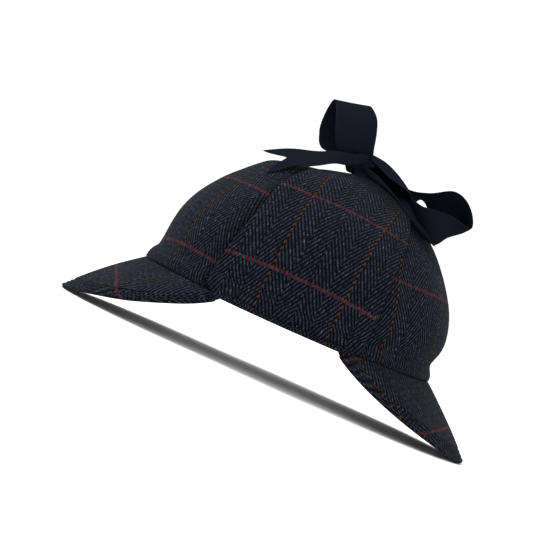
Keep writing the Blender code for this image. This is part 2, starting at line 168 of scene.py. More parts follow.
@dataclass
class Shell:
    """A closed shell of cloth on a grid, whose edges are rounded off."""

    name: str
    outer: np.ndarray
    uv: np.ndarray
    thickness: float
    edge_radius: float
    grooves: tuple[float, ...] = ()
    groove_depth: float = 0.0008
    groove_width: float = 0.0008
    floor: float | None = None
    # Painted shade on the outer face and on the inner face, from 0 to 1, kept as the painted shade
    # attribute.
    shade: np.ndarray | None = None
    inner_shade: np.ndarray | None = None

    def normals(self) -> np.ndarray:
        """Find the outward directions, as the cross product of the grid's two gradients."""
        along_u = np.gradient(self.outer, axis=1)
        along_v = np.gradient(self.outer, axis=0)
        return unit(np.cross(along_u, along_v))

    def edge_distances(self) -> tuple[np.ndarray, np.ndarray]:
        """Measure the way to the grid's borders along its lines.

        Returns:
            The distance to the nearest border, and the distance to the last row's border alone.
        """
        u_steps = np.linalg.norm(np.diff(self.outer, axis=1), axis=-1)
        v_steps = np.linalg.norm(np.diff(self.outer, axis=0), axis=-1)
        left = np.pad(np.cumsum(u_steps, axis=1), ((0, 0), (1, 0)))
        low = np.pad(np.cumsum(v_steps, axis=0), ((1, 0), (0, 0)))
        right, high = left[:, -1:] - left, low[-1:] - low
        return np.minimum(np.minimum(left, right), np.minimum(low, high)), high

    def build(self) -> bpy.types.Object:
        """Make the shell's mesh.

        Half the thickness at a place is the whole half times the height of a quarter circle, which runs
        from the border to the edge radius. The outer face drops by a bell curve at each groove, which keeps
        its distance from the last row's border.

        Returns:
            The new object, at the origin.
        """
        normal = self.normals()
        nearest, from_last = self.edge_distances()
        reach = 1 - np.clip(nearest / self.edge_radius, 0.0, 1.0)
        half = self.thickness / 2 * np.sqrt(1 - reach**2)
        dent = np.zeros_like(half)
        for distance in self.grooves:
            dent += self.groove_depth * np.exp(-(((from_last - distance) / self.groove_width) ** 2))
        middle = self.outer - normal * self.thickness / 2
        front = middle + normal * (half - np.minimum(dent, half))[..., None]
        back = middle - normal * half[..., None]
        cloth = self.cloth_round_edges()
        rows, columns = half.shape
        outside = np.arange(rows * columns).reshape(rows, columns)
        inside = outside.copy()
        inside[1:-1, 1:-1] = rows * columns + np.arange((rows - 2) * (columns - 2)).reshape(rows - 2, -1)
        points = np.concatenate([front.reshape(-1, 3), back[1:-1, 1:-1].reshape(-1, 3)])
        if self.floor is not None:
            points[:, 2] = np.maximum(points[:, 2], self.floor)
        faces = np.concatenate([grid_faces(outside), grid_faces(inside)[:, ::-1]])
        spots = np.concatenate([cloth.reshape(-1, 2), cloth[1:-1, 1:-1].reshape(-1, 2)])
        piece = mesh_object(self.name, points, faces, spots[faces])
        # Write the painted shade attribute: the outer face's values, then the inner face's.
        if self.shade is not None:
            inner = self.shade if self.inner_shade is None else self.inner_shade
            values = np.concatenate([self.shade.ravel(), inner[1:-1, 1:-1].ravel()])
            layer = piece.data.attributes.new(SHADE, "FLOAT", "POINT")
            layer.data.foreach_set("value", values.astype(np.float32))
        return piece

    def cloth_round_edges(self) -> np.ndarray:
        """Move the cloth lengths on where the cloth turns round an edge.

        The way round a rounded edge is a quarter circle's arc, where the grid only goes its radius. So the
        lengths grow outward at each border, by the radius times the angle less its sine.

        Returns:
            The grid of cloth lengths.
        """
        cloth = self.uv.copy()
        for axis in (0, 1):
            heading = unit(np.gradient(self.uv, axis=axis) + 1e-12)
            steps = np.linalg.norm(np.diff(self.outer, axis=axis), axis=-1)
            start = np.cumsum(steps, axis=axis)
            start = np.concatenate([np.zeros_like(np.take(start, [0], axis)), start], axis=axis)
            end = np.take(start, [-1], axis) - start
            for way, sign in ((start, -1.0), (end, 1.0)):
                reach = 1 - np.clip(way / self.edge_radius, 0.0, 1.0)
                excess = self.edge_radius * (np.arcsin(reach) - reach)
                cloth += sign * heading * excess[..., None]
        return cloth


def grid_faces(index: np.ndarray) -> np.ndarray:
    """List the four corners of each cell of a grid of vertex numbers, turning from across to along."""
    corners = (index[:-1, :-1], index[:-1, 1:], index[1:, 1:], index[1:, :-1])
    return np.stack(corners, axis=-1).reshape(-1, 4)


def mesh_object(name: str, points: np.ndarray, faces: np.ndarray, uv: np.ndarray) -> bpy.types.Object:
    """Put arrays into a new smooth mesh.

    Args:
        name: the piece's name.
        points: one row of x, y and z for each vertex.
        faces: one row of four vertex numbers for each face.
        uv: for each face, the cloth lengths at its four corners.

    Returns:
        The object that shows the mesh.
    """
    mesh = bpy.data.meshes.new(name)
    mesh.vertices.add(len(points))
    mesh.vertices.foreach_set("co", points.astype(np.float32).ravel())
    mesh.loops.add(faces.size)
    mesh.loops.foreach_set("vertex_index", faces.astype(np.int32).ravel())
    mesh.polygons.add(len(faces))
    mesh.polygons.foreach_set("loop_start", np.arange(0, faces.size, 4, dtype=np.int32))
    mesh.update(calc_edges=True)
    layer = mesh.uv_layers.new(name=CLOTH_UV)
    layer.uv.foreach_set("vector", uv.astype(np.float32).ravel())
    return show(name, mesh)


def show(name: str, mesh: bpy.types.Mesh) -> bpy.types.Object:
    """Smooth a mesh and put it in the scene under a name."""
    mesh.shade_smooth()
    obj = bpy.data.objects.new(name, mesh)
    bpy.context.scene.collection.objects.link(obj)
    return obj


def dress(obj: bpy.types.Object, material: bpy.types.Material, slot: str, *nodes: str) -> None:
    """Finish a piece, and let it stand for its solids.

    Args:
        obj: the piece.
        material: its finish.
        slot: the record's material slot; not used.
        nodes: the names of the solids that it replaces.
    """
    obj.data.materials.append(material)
    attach(obj, "root")
    if nodes:
        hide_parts(*nodes)
    LOG.info("%s: %d faces", obj.name, len(obj.data.polygons))


class Shader:
    """A short way to write a material's nodes."""

    def __init__(self, name: str) -> None:
        """Start a material with a Principled surface."""
        self.material = bpy.data.materials.new(name)
        self.material.use_nodes = True
        self.tree = self.material.node_tree
        self.surface = self.tree.nodes["Principled BSDF"]

    def node(self, kind: str, settings: dict | None = None, inputs: dict | None = None) -> bpy.types.Node:
        """Add a node.

        Args:
            kind: the node's type name, without ShaderNode.
            settings: its properties.
            inputs: sockets by name or number, each given a value or an output to link.

        Returns:
            The node.
        """
        made = self.tree.nodes.new("ShaderNode" + kind)
        for key, value in (settings or {}).items():
            setattr(made, key, value)
        for key, value in (inputs or {}).items():
            self.put(made.inputs[key], value)
        return made

    def put(self, socket: Socket, value: object) -> None:
        """Link an output to a socket, or set the socket's own value."""
        if isinstance(value, bpy.types.NodeSocket):
            self.tree.links.new(value, socket)
        else:
            socket.default_value = value

    def math(self, operation: str, first: object, second: object = 0.0) -> Socket:
        """Work out one number from two, as the named operation of a Math node."""
        made = self.node("Math", {"operation": operation}, {0: first, 1: second})
        return made.outputs[0]

    def plus(self, first: object, second: object) -> Socket:
        """Add two numbers."""
        return self.math("ADD", first, second)

    def less(self, first: object, second: object) -> Socket:
        """Take the second number from the first."""
        return self.math("SUBTRACT", first, second)

    def times(self, first: object, second: object) -> Socket:
        """Multiply two numbers."""
        return self.math("MULTIPLY", first, second)

    def line(self, value: object, gain_and_start: tuple[float, float]) -> Socket:
        """Multiply a number by a gain and add a start."""
        gain, start = gain_and_start
        return self.plus(self.times(value, gain), start)

    def mix(self, factor: object, first: object, second: object) -> Socket:
        """Blend two colours, from the first at 0 to the second at 1."""
        made = self.node("Mix", {"data_type": "RGBA"}, {"Factor": factor})
        self.put(made.inputs[6], first)
        self.put(made.inputs[7], second)
        return made.outputs[2]

    def scale(self, colour: object, factor: object) -> Socket:
        """Multiply a colour by a number."""
        made = self.node("VectorMath", {"operation": "SCALE"}, {0: colour, "Scale": factor})
        return made.outputs[0]

    def cloth(self) -> tuple[Socket, Socket]:
        """Read the cloth lengths across and along from the piece's own UV map."""
        spot = self.node("UVMap", {"uv_map": CLOTH_UV})
        parts = self.node("SeparateXYZ", None, {0: spot.outputs[0]})
        return parts.outputs[0], parts.outputs[1]

    def painted_light_left(self) -> Socket:
        """Say how much light is painted as reaching a place: one less its painted shade attribute."""
        return self.less(1.0, self.node("Attribute", {"attribute_name": SHADE}).outputs["Fac"])

    def noise(self, vector: object, scale: float, detail: float) -> Socket:
        """Sample fractal noise at a place, from 0 to 1."""
        inputs = {"Vector": vector, "Scale": scale, "Detail": detail}
        return self.node("TexNoise", None, inputs).outputs[0]

    def draw(self, first: object, second: object = None) -> Socket:
        """Draw a fixed number from 0 to 1 for a whole number, or for a pair of them."""
        if second is None:
            return self.node("TexWhiteNoise", {"noise_dimensions": "1D"}, {"W": first}).outputs[0]
        pair = {"Vector": self.point(first, second)}
        return self.node("TexWhiteNoise", {"noise_dimensions": "2D"}, pair).outputs[0]

    def point(self, x: object, y: object, z: object = 0.0) -> Socket:
        """Join three numbers into a vector."""
        return self.node("CombineXYZ", None, {0: x, 1: y, 2: z}).outputs[0]

    def bump(self, height: object, distance: float, strength: float) -> None:
        """Raise the surface by a height from 0 to 1 that stands for a distance in metres."""
        inputs = {"Height": height, "Distance": distance, "Strength": strength}
        made = self.node("Bump", None, inputs)
        self.put(self.surface.inputs["Normal"], made.outputs[0])

    def finish(self, colour: Socket, values: dict[str, object]) -> bpy.types.Material:
        """Give the surface its colour and its other values.

        Args:
            colour: the surface's colour.
            values: the surface's other inputs, by name.

        Returns:
            The material.
        """
        self.put(self.surface.inputs["Base Color"], colour)
        for name, value in values.items():
            self.surface.inputs[name].default_value = value
        return self.material


@dataclass(frozen=True)
class Weave:
    """Where a place lies in the weave, as node outputs.

    A warp end and a pick cross there, and each has a number and a way across it from 0 to 1. Odd is 1 in the
    columns whose twill is turned, and turn is then -1 and otherwise 1.
    """

    spot: Socket
    along: Socket
    end: Socket
    row: Socket
    in_end: Socket
    in_row: Socket
    odd: Socket
    turn: Socket
    diagonal: Socket
    step: Socket
    warp_up: Socket


@dataclass(frozen=True)
class Fleck:
    """Flecks of another colour along the warp's yarn, where a noise is above its start.

    The stretch is the noise's step from one end to the next, its waves in a metre of the end, and an offset.
    """

    colour: tuple[float, ...]
    stretch: tuple[float, float, float]
    detail: float
    start: float
    power: float
    gain: float
    most: float

    def noise(self, s: Shader, weave: Weave) -> Socket:
        """Sample the flecks' noise, stretched along each end."""
        step, waves, offset = self.stretch
        spot = s.point(s.times(weave.end, step), s.times(weave.along, waves), offset)
        return s.noise(spot, 1.0, self.detail)

    def over(self, s: Shader, noise: Socket, yarn: object) -> Socket:
        """Lay the flecks over a yarn, by the gain times a power of the noise above its start."""
        above = s.math("MAXIMUM", s.less(noise, self.start), 0.0)
        share = s.times(s.math("POWER", above, self.power), self.gain)
        return s.mix(s.math("MINIMUM", share, self.most), yarn, self.colour)


@dataclass(frozen=True)
class TweedFinish:
    """A two and two twill in herringbone columns, with a windowpane check of a tan warp and a red weft.

    A tone is a gain and a start: a number from 0 to 1 times the gain, plus the start, brightens a colour.
    """

    warp_pitch: float = 0.000625
    pick_pitch: float = 0.00109
    twill_repeat: float = 4.0
    column_ends: int = 20
    tan_repeat_ends: int = 80
    red_repeat_picks: int = 54
    stripe_threads: int = 2
    wobble: float = 0.00022
    wobble_scale: float = 240.0
    weft_relief: float = 0.72
    fuzz_scale: float = 1500.0
    fuzz_relief: float = 0.6
    relief: float = 0.00028
    relief_strength: float = 0.8
    warp_colour: tuple[float, ...] = (0.0168, 0.0196, 0.0300, 1.0)
    weft_colour: tuple[float, ...] = (0.0009, 0.0013, 0.0034, 1.0)
    tan_colour: tuple[float, ...] = (0.110, 0.045, 0.015, 1.0)
    red_colour: tuple[float, ...] = (0.125, 0.0135, 0.018, 1.0)
    haze_colour: tuple[float, ...] = (0.0040, 0.0050, 0.0100, 1.0)
    blue: Fleck = Fleck((0.016, 0.029, 0.058, 1.0), (5.1, 260.0, 7.0), 1.0, 0.46, 1.0, 4.0, 0.8)
    pale: Fleck = Fleck((0.120, 0.116, 0.134, 1.0), (3.7, 420.0, 0.0), 2.0, 0.44, 1.3, 3.4, 1.0)
    beat_ends: int = 4
    beat_gain: float = 0.28
    end_gain: float = 0.5
    float_gain: float = 0.95
    warp_start: float = 0.27
    weft_tone: tuple[float, float] = (0.8, 0.6)
    stripe_tone: tuple[float, float] = (1.1, 0.45)
    # Painted shade between the yarns: the colour is darkened where the yarn surface is low.
    yarn_gap_shade_tone: tuple[float, float] = (0.85, 0.25)
    haze_tone: tuple[float, float] = (0.3, 0.04)
    red_clear: float = 0.8
    tan_clear: float = 0.4
    brightness: float = 0.82

    def weave(self, s: Shader) -> Weave:
        """Find where a place lies in the weave.

        The end's number times the column's direction plus the pick's number is the diagonal. Its modulo of
        four is the step, which is below two where the warp lies on top.

        Args:
            s: the material that is written.

        Returns:
            The place in the weave.
        """
        across, along = s.cloth()
        spot = s.point(across, along)
        shake = s.times(s.less(s.noise(spot, self.wobble_scale, 2.0), 0.5), self.wobble)
        warp = s.math("DIVIDE", s.plus(across, shake), self.warp_pitch)
        pick = s.math("DIVIDE", s.plus(along, shake), self.pick_pitch)
        end, row = s.math("FLOOR", warp), s.math("FLOOR", pick)
        in_end, in_row = s.math("FRACT", warp), s.math("FRACT", pick)
        column = s.math("FLOOR", s.math("DIVIDE", end, self.column_ends))
        odd = s.math("FLOORED_MODULO", column, 2.0)
        turn = s.less(1.0, s.times(odd, 2.0))
        diagonal = s.plus(s.times(end, turn), row)
        step = s.math("FLOORED_MODULO", diagonal, self.twill_repeat)
        warp_up = s.math("LESS_THAN", step, 1.5)
        return Weave(spot, along, end, row, in_end, in_row, odd, turn, diagonal, step, warp_up)

    def float_height(self, s: Shader, across_yarn: Socket, along_yarn: Socket) -> Socket:
        """Round a float: the sine of the way across its yarn times the root of the sine of the way along."""
        ridge = s.math("SINE", s.times(across_yarn, math.pi))
        arch = s.math("SINE", s.times(along_yarn, math.pi))
        return s.times(ridge, s.math("POWER", s.math("MAXIMUM", arch, 0.0), 0.5))

    def height(self, s: Shader, weave: Weave) -> Socket:
        """Give the height of the yarn on top, from 0 to 1, where each float runs over two threads."""
        warp_way = s.times(s.plus(weave.step, weave.in_row), 0.5)
        turned = s.plus(weave.odd, s.times(weave.in_end, weave.turn))
        weft_way = s.times(s.plus(s.less(weave.step, 2.0), turned), 0.5)
        warp = self.float_height(s, weave.in_end, warp_way)
        weft = s.times(self.float_height(s, weave.in_row, weft_way), self.weft_relief)
        inputs = {"Factor": weave.warp_up, 2: weft, 3: warp}
        return s.node("Mix", {"data_type": "FLOAT"}, inputs).outputs[0]

    def warp_yarn(self, s: Shader, weave: Weave, heather: Socket) -> Socket:
        """Colour the warp: navy with two kinds of fleck, its tone drawn for each end and each float."""
        yarn = self.blue.over(s, self.blue.noise(s, weave), self.warp_colour)
        yarn = self.pale.over(s, heather, yarn)
        beat = s.math("COSINE", s.times(weave.end, 2 * math.pi / self.beat_ends))
        end_tone = s.plus(s.times(s.draw(weave.end), self.end_gain), s.times(beat, self.beat_gain))
        float_number = s.math("FLOOR", s.math("DIVIDE", weave.diagonal, self.twill_repeat))
        tone = s.plus(end_tone, s.times(s.draw(weave.end, float_number), self.float_gain))
        return s.scale(yarn, s.plus(tone, self.warp_start))

    def stripe(self, s: Shader, number: Socket, repeat: int) -> Socket:
        """Give 1 on the threads of a stripe that comes back after a number of threads, and 0 elsewhere."""
        from_stripe = s.math("FLOORED_MODULO", s.plus(number, self.stripe_threads / 2), repeat)
        return s.math("LESS_THAN", from_stripe, self.stripe_threads - 0.5)

    def material(self) -> bpy.types.Material:
        """Write the tweed's nodes.

        Returns:
            The material.
        """
        s = Shader("herringbone_tweed")
        weave = self.weave(s)
        height = self.height(s, weave)
        heather = self.pale.noise(s, weave)
        tan = self.stripe(s, weave.end, self.tan_repeat_ends)
        red = self.stripe(s, weave.row, self.red_repeat_picks)
        stripe_tone = s.line(heather, self.stripe_tone)
        warp = self.warp_yarn(s, weave, heather)
        warp = s.mix(tan, warp, s.scale(self.tan_colour[:3], stripe_tone))
        weft = s.scale(self.weft_colour[:3], s.line(s.draw(weave.row), self.weft_tone))
        weft = s.mix(red, weft, s.scale(self.red_colour[:3], stripe_tone))
        # Painted shade between the yarns, by the yarn height.
        colour = s.scale(s.mix(weave.warp_up, weft, warp), s.line(height, self.yarn_gap_shade_tone))
        fuzz = s.noise(weave.spot, self.fuzz_scale, 3.0)
        striped = s.math("MAXIMUM", s.times(red, self.red_clear), s.times(tan, self.tan_clear))
        haze = s.times(s.line(fuzz, self.haze_tone), s.less(1.0, striped))
        # Painted shade: the colour is darkened by the painted shade attribute.
        painted_lit = s.times(s.painted_light_left(), self.brightness)
        s.bump(s.plus(height, s.times(fuzz, self.fuzz_relief)), self.relief, self.relief_strength)
        values = {
            "Roughness": 0.92,
            "Specular IOR Level": 0.03,
            "Sheen Weight": 0.03,
            "Sheen Roughness": 0.45,
            "Sheen Tint": (0.62, 0.68, 0.85, 1.0),
        }
        return s.finish(s.scale(s.mix(haze, colour, self.haze_colour), painted_lit), values)


@dataclass(frozen=True)
class RibbonFinish:
    """Grosgrain: fine ribs across a dull navy ribbon, with a firm selvedge on each side."""

    width: float = 0.028
    rib_pitch: float = 0.00062
    selvedge: float = 0.0009
    drift: float = 0.0003
    drift_scale: float = 60.0
    yarn_waves: tuple[float, float] = (9000.0, 300.0)
    rib_share: float = 0.55
    yarn_share: float = 0.5
    selvedge_share: float = 0.55
    yarn_relief: float = 0.3
    relief: float = 0.00012
    relief_strength: float = 0.7
    colour: tuple[float, ...] = (0.0036, 0.0044, 0.0078, 1.0)
    rib_colour: tuple[float, ...] = (0.0086, 0.0098, 0.0152, 1.0)

    def material(self) -> bpy.types.Material:
        """Write the ribbon's nodes: a rib's height is the sine of the way through its pitch."""
        s = Shader("grosgrain_ribbon")
        across, along = s.cloth()
        drift = s.times(s.noise(s.point(across, along), self.drift_scale, 1.0), self.drift)
        phase = s.times(s.plus(along, drift), math.pi / self.rib_pitch)
        rib = s.math("ABSOLUTE", s.math("SINE", phase))
        waves_across, waves_along = self.yarn_waves
        yarns = s.noise(s.point(s.times(across, waves_across), s.times(along, waves_along)), 1.0, 2.0)
        from_edge = s.less(self.width / 2, s.math("ABSOLUTE", across))
        edge = s.math("LESS_THAN", from_edge, self.selvedge)
        tone = s.plus(s.times(rib, self.rib_share), s.times(yarns, self.yarn_share))
        colour = s.mix(tone, self.colour, self.rib_colour)
        colour = s.mix(s.times(edge, self.selvedge_share), colour, self.rib_colour)
        s.bump(s.plus(rib, s.times(yarns, self.yarn_relief)), self.relief, self.relief_strength)
        values = {
            "Roughness": 0.62,
            "Specular IOR Level": 0.0,
            "Sheen Weight": 0.004,
            "Sheen Roughness": 0.35,
            "Sheen Tint": (0.5, 0.6, 0.9, 1.0),
        }
        # Painted shade: the colour is darkened by the painted shade attribute.
        return s.finish(s.scale(colour, s.painted_light_left()), values)


@dataclass(frozen=True)
class FloorFinish:
    """A plain pale matt floor."""

    colour: tuple[float, ...] = (0.93, 0.93, 0.93, 1.0)
    tone: tuple[float, float] = (0.02, 0.99)

    def material(self) -> bpy.types.Material:
        """Write the floor's one colour, faintly uneven."""
        s = Shader("pale_floor")
        spot = s.node("TexCoord").outputs["Object"]
        tone = s.line(s.noise(spot, 3.0, 2.0), self.tone)
        return s.finish(s.scale(self.colour[:3], tone), {"Roughness": 0.9, "Specular IOR Level": 0.1})


# Rings of the crown from the rim to the apex: height as a share of the crown's, then the front, back and
# side reaches as shares of its half length and half width.
CROWN_RINGS: Rows = (
    (0.000, 1.000, 1.014, 1.000),
    (0.040, 0.993, 1.009, 1.002),
    (0.075, 0.977, 0.991, 0.990),
    (0.105, 0.955, 0.983, 0.984),
    (0.145, 0.946, 0.995, 0.992),
    (0.200, 0.940, 1.010, 1.003),
    (0.270, 0.934, 1.011, 1.006),
    (0.365, 0.917, 0.989, 0.998),
    (0.460, 0.879, 0.949, 0.968),
    (0.555, 0.824, 0.888, 0.914),
    (0.650, 0.750, 0.814, 0.832),
    (0.740, 0.662, 0.733, 0.720),
    (0.820, 0.578, 0.642, 0.602),
    (0.878, 0.495, 0.558, 0.496),
    (0.918, 0.352, 0.484, 0.404),
    (0.950, 0.178, 0.416, 0.314),
    (0.978, 0.028, 0.337, 0.216),
    (0.994, -0.085, 0.262, 0.112),
)


@dataclass(frozen=True)
class CrownForm:
    """The crown's outer surface, which the peaks, flaps and ribbons are placed by."""

    half_length: float = 0.1030
    half_width: float = 0.0870
    height: float = 0.1058
    rim: float = 0.0415
    rim_dip: float = 0.0013
    apex_back: float = 0.0180
    apex_hole: float = 0.0004
    egg: float = 0.035
    panels: int = 6
    puff: float = 0.0010
    front_reach: float = 0.0440
    back_reach: float = 0.0432
    side_reach: float = 0.075
    side_samples: int = 300
    ridge_cosine: float = 0.999

    def shift(self) -> float:
        """Say how far back the hat moves, so that its peaks' tips lie evenly about the origin."""
        back_tip = self.half_length * CROWN_RINGS[0][2] + self.back_reach
        return (self.half_length + self.front_reach - back_tip) / 2

    def ring(self, share: np.ndarray) -> tuple[np.ndarray, ...]:
        """Read the crown's ring at a share of the way up.

        Args:
            share: 0 at the rim, 1 at the apex.

        Returns:
            Its height, the y of its centre, its half length and its half width.
        """
        table = np.array(CROWN_RINGS)
        rows = table * (self.height, -self.half_length, self.half_length, self.half_width)
        rows[:, 0] += self.rim
        hole = self.apex_hole
        apex = (self.rim + self.height, self.apex_back - hole, self.apex_back + hole, hole)
        height, front, back, side = np.moveaxis(smooth_curve(np.vstack([rows, apex]), share), -1, 0)
        return height, (front + back) / 2, (back - front) / 2, side

    def point(self, turn: np.ndarray, share: np.ndarray) -> np.ndarray:
        """Place points on the crown.

        A ring is an ellipse that is a little wider at the back, puffed between the seams by a squared sine.

        Args:
            turn: degrees from the front towards the wearer's left.
            share: 0 at the rim, 1 at the apex.

        Returns:
            Places with x, y and z on the last axis.
        """
        angle = np.radians(turn)
        height, centre, half_length, half_width = self.ring(share)
        puff = self.puff * np.sin(angle * self.panels / 2) ** 2 * np.sin(np.pi * np.clip(share, 0, 1))
        x = (half_width + puff) * np.sin(angle) * (1 - self.egg * np.cos(angle) * (1 - share))
        y = centre - (half_length + puff) * np.cos(angle) + self.shift()
        z = height - self.rim_dip * np.sin(angle) ** 2 * (1 - share) ** 3
        return np.stack(np.broadcast_arrays(x, y, z), axis=-1)

    def normal(self, turn: np.ndarray, share: np.ndarray) -> np.ndarray:
        """Find the outward directions, from small steps along the ring and up the crown."""
        high, low = np.minimum(share + 0.002, 1.0), np.maximum(share - 0.002, 0.0)
        along = self.point(turn + 0.2, share) - self.point(turn - 0.2, share)
        return unit(np.cross(along, self.point(turn, high) - self.point(turn, low)))

    def side_lines(self, y: np.ndarray) -> tuple[np.ndarray, np.ndarray, np.ndarray]:
        """Measure up the crown's left side, in the planes at many values of y.

        Args:
            y: places along the hat, before its shift.

        Returns:
            The shares that are sampled, for each plane the length up to each of them, and for each plane
            how many of them come before the ridge.
        """
        share = np.linspace(0.0, 1.0, self.side_samples)
        _, centre, half_length, _ = self.ring(share)
        cosine = (centre - y[:, None]) / half_length
        inside = np.cumprod(np.abs(cosine) < self.ridge_cosine, axis=1)
        turn = np.degrees(np.arccos(np.clip(cosine, -1, 1)))
        steps = np.linalg.norm(np.diff(self.point(turn, share), axis=1), axis=-1) * inside[:, 1:]
        return share, np.pad(np.cumsum(steps, axis=1), ((0, 0), (1, 0))), inside.sum(axis=1)

    def side_place(self, y: np.ndarray, length: np.ndarray) -> Surface:
        """Find places on the crown's left side, by a table of lengths up the side at many values of y.

        Args:
            y: places along the hat, before its shift.
            length: lengths up the crown from the rim, in the plane at y.

        Returns:
            Their turns and shares.
        """
        lines = np.linspace(-self.side_reach, self.side_reach, 151)
        marks = np.linspace(0.0, 0.2, 401)
        share, lengths, counts = self.side_lines(lines)
        ways = zip(lengths, counts)
        table = np.stack([np.interp(marks, way[:count], share[:count]) for way, count in ways])
        at = np.clip((y - lines[0]) / (lines[1] - lines[0]), 0, len(lines) - 1.001)
        on = np.clip(length / marks[1], 0, len(marks) - 1.001)
        k, m = at.astype(int), on.astype(int)
        f, g = at - k, on - m
        low = table[k, m] * (1 - g) + table[k, m + 1] * g
        high = table[k + 1, m] * (1 - g) + table[k + 1, m + 1] * g
        found = low * (1 - f) + high * f
        _, centre, half_length, _ = self.ring(found)
        return np.degrees(np.arccos(np.clip((centre - y) / half_length, -1, 1))), found

    def side_length(self, y: float) -> float:
        """Measure the way up the left side at y, from the rim to the ridge."""
        return float(self.side_lines(np.array([y]))[1][0, -1])

    def above(self, x: np.ndarray, y: np.ndarray) -> Surface:
        """Find the turn and share of the crown under places seen from above, by the first ring inside."""
        share = np.linspace(0.25, 1.0, 400)
        _, centre, half_length, half_width = self.ring(share)
        x, y = x[..., None], y[..., None] - self.shift()
        outside = (x / half_width) ** 2 + ((y - centre) / half_length) ** 2 >= 1
        found = share[np.argmax(outside, axis=-1)]
        _, centre, half_length, half_width = self.ring(found)
        turn = np.degrees(np.arctan2(x[..., 0] / half_width, (centre - y[..., 0]) / half_length))
        return turn, found


@dataclass
class Crown:
    """The crown: six gores of tweed, each with its seam allowances turned in."""

    form: CrownForm
    wall: float = 0.0024
    seam_overlap: float = 0.0002
    seam_radius: float = 0.0012
    unevenness: float = 0.0005
    side_seams: tuple[float, ...] = (60.0, 300.0)
    pull: float = 0.0030
    pull_width: float = 0.0090
    pull_start: float = 0.008
    pull_rise: float = 0.08
    full_radius: float = 0.05
    # Painted shade beside the side seams: its depth, its half width, and the most painted shade a place
    # gets.
    seam_shade: float = 0.92
    shade_width: float = 0.0105
    deepest_shade: float = 0.94
    names: tuple[str, ...] = (
        "front_left",
        "side_left",
        "back_left",
        "back_right",
        "side_right",
        "front_right",
    )
    grains: dict[str, Grain] = field(
        default_factory=lambda: {
            "front_left": Grain(0.0030, 0.0196, tilt=-0.029, droop=1.8),
            "side_left": Grain(-0.0200, 0.0290),
            "back_left": Grain(-0.0330, -0.0016, lean=-0.449, bend=6.26),
            "back_right": Grain(0.0240, -0.0016),
            "side_right": Grain(0.0120, 0.0290),
            "front_right": Grain(-0.0030, 0.0196, tilt=0.029, droop=1.8),
        }
    )

    def gore(self, index: int) -> Shell:
        """Work out one gore.

        Across it the turn runs from seam to seam and a hair over them; up it the share runs from the rim to
        the apex. The seams beside the flaps are pulled in by a bell curve, and painted shade is laid there,
        deeper towards the rim, in place of the shadow under the flap's front edge; the painted shadow of the
        back tail is added. Cloth lengths are the turn from the gore's middle times the ring's radius, and
        the length up the middle.

        Args:
            index: the gore's number, from the front towards the wearer's left.

        Returns:
            Its shell.
        """
        spread = 360 / len(self.names)
        middle = (index + 0.5) * spread
        u = graded(44, 0.05, 7)
        v = graded(96, 0.02, 6)[:, None]
        spine = self.form.point(middle, v)
        radius = np.linalg.norm(spine - self.form.point(middle - 180, v), axis=-1) / 2
        overlap = np.degrees(np.minimum(self.seam_overlap / radius, 0.2))
        turn = index * spread - overlap + u * (spread + 2 * overlap)
        points = self.form.point(turn, v)
        normal = self.form.normal(turn, v)
        rise = np.sin(np.pi * v)[..., None] ** 0.5
        points = points + normal * self.unevenness * rise * ripple(points, CLOTH_WAVE, CLOTH_SEED)[..., None]
        up = np.linalg.norm(np.diff(spine[:, 0], axis=0), axis=-1)
        along = np.pad(np.cumsum(up), (1, 0))[:, None]
        uv = self.grains[self.names[index]].uv(np.radians(turn - middle) * radius, along)
        room = np.clip(radius / self.full_radius, 0.0, 1.0)
        held = np.clip((v - self.pull_start) / self.pull_rise, 0.0, 1.0) * room**2
        # Painted shade beside each side seam, deeper towards the rim, in place of the shadow under the
        # flap's front edge.
        painted_shade_depth = self.seam_shade * (1 - 0.6 * v) * room
        shade = np.zeros_like(turn + v)
        for seam in self.side_seams:
            away = np.abs(np.radians(turn - seam)) * radius
            pulled = self.pull * held * np.exp(-((away / self.pull_width) ** 2))
            points = points - normal * pulled[..., None]
            shade = shade + painted_shade_depth * np.exp(-((away / self.shade_width) ** 4))
        # Add the painted shadow of the back tail, and cap the painted shade.
        shade = np.minimum(shade + Bow(self.form).contact_shade(points), self.deepest_shade)
        name = "crown_gore_" + self.names[index]
        return Shell(name, points, uv, self.wall, self.seam_radius, shade=shade)

    def build(self, material: bpy.types.Material) -> None:
        """Build the six gores and dress them in tweed."""
        for index, name in enumerate(self.names):
            dress(self.gore(index).build(), material, "tweed", "crown_panel_" + name)


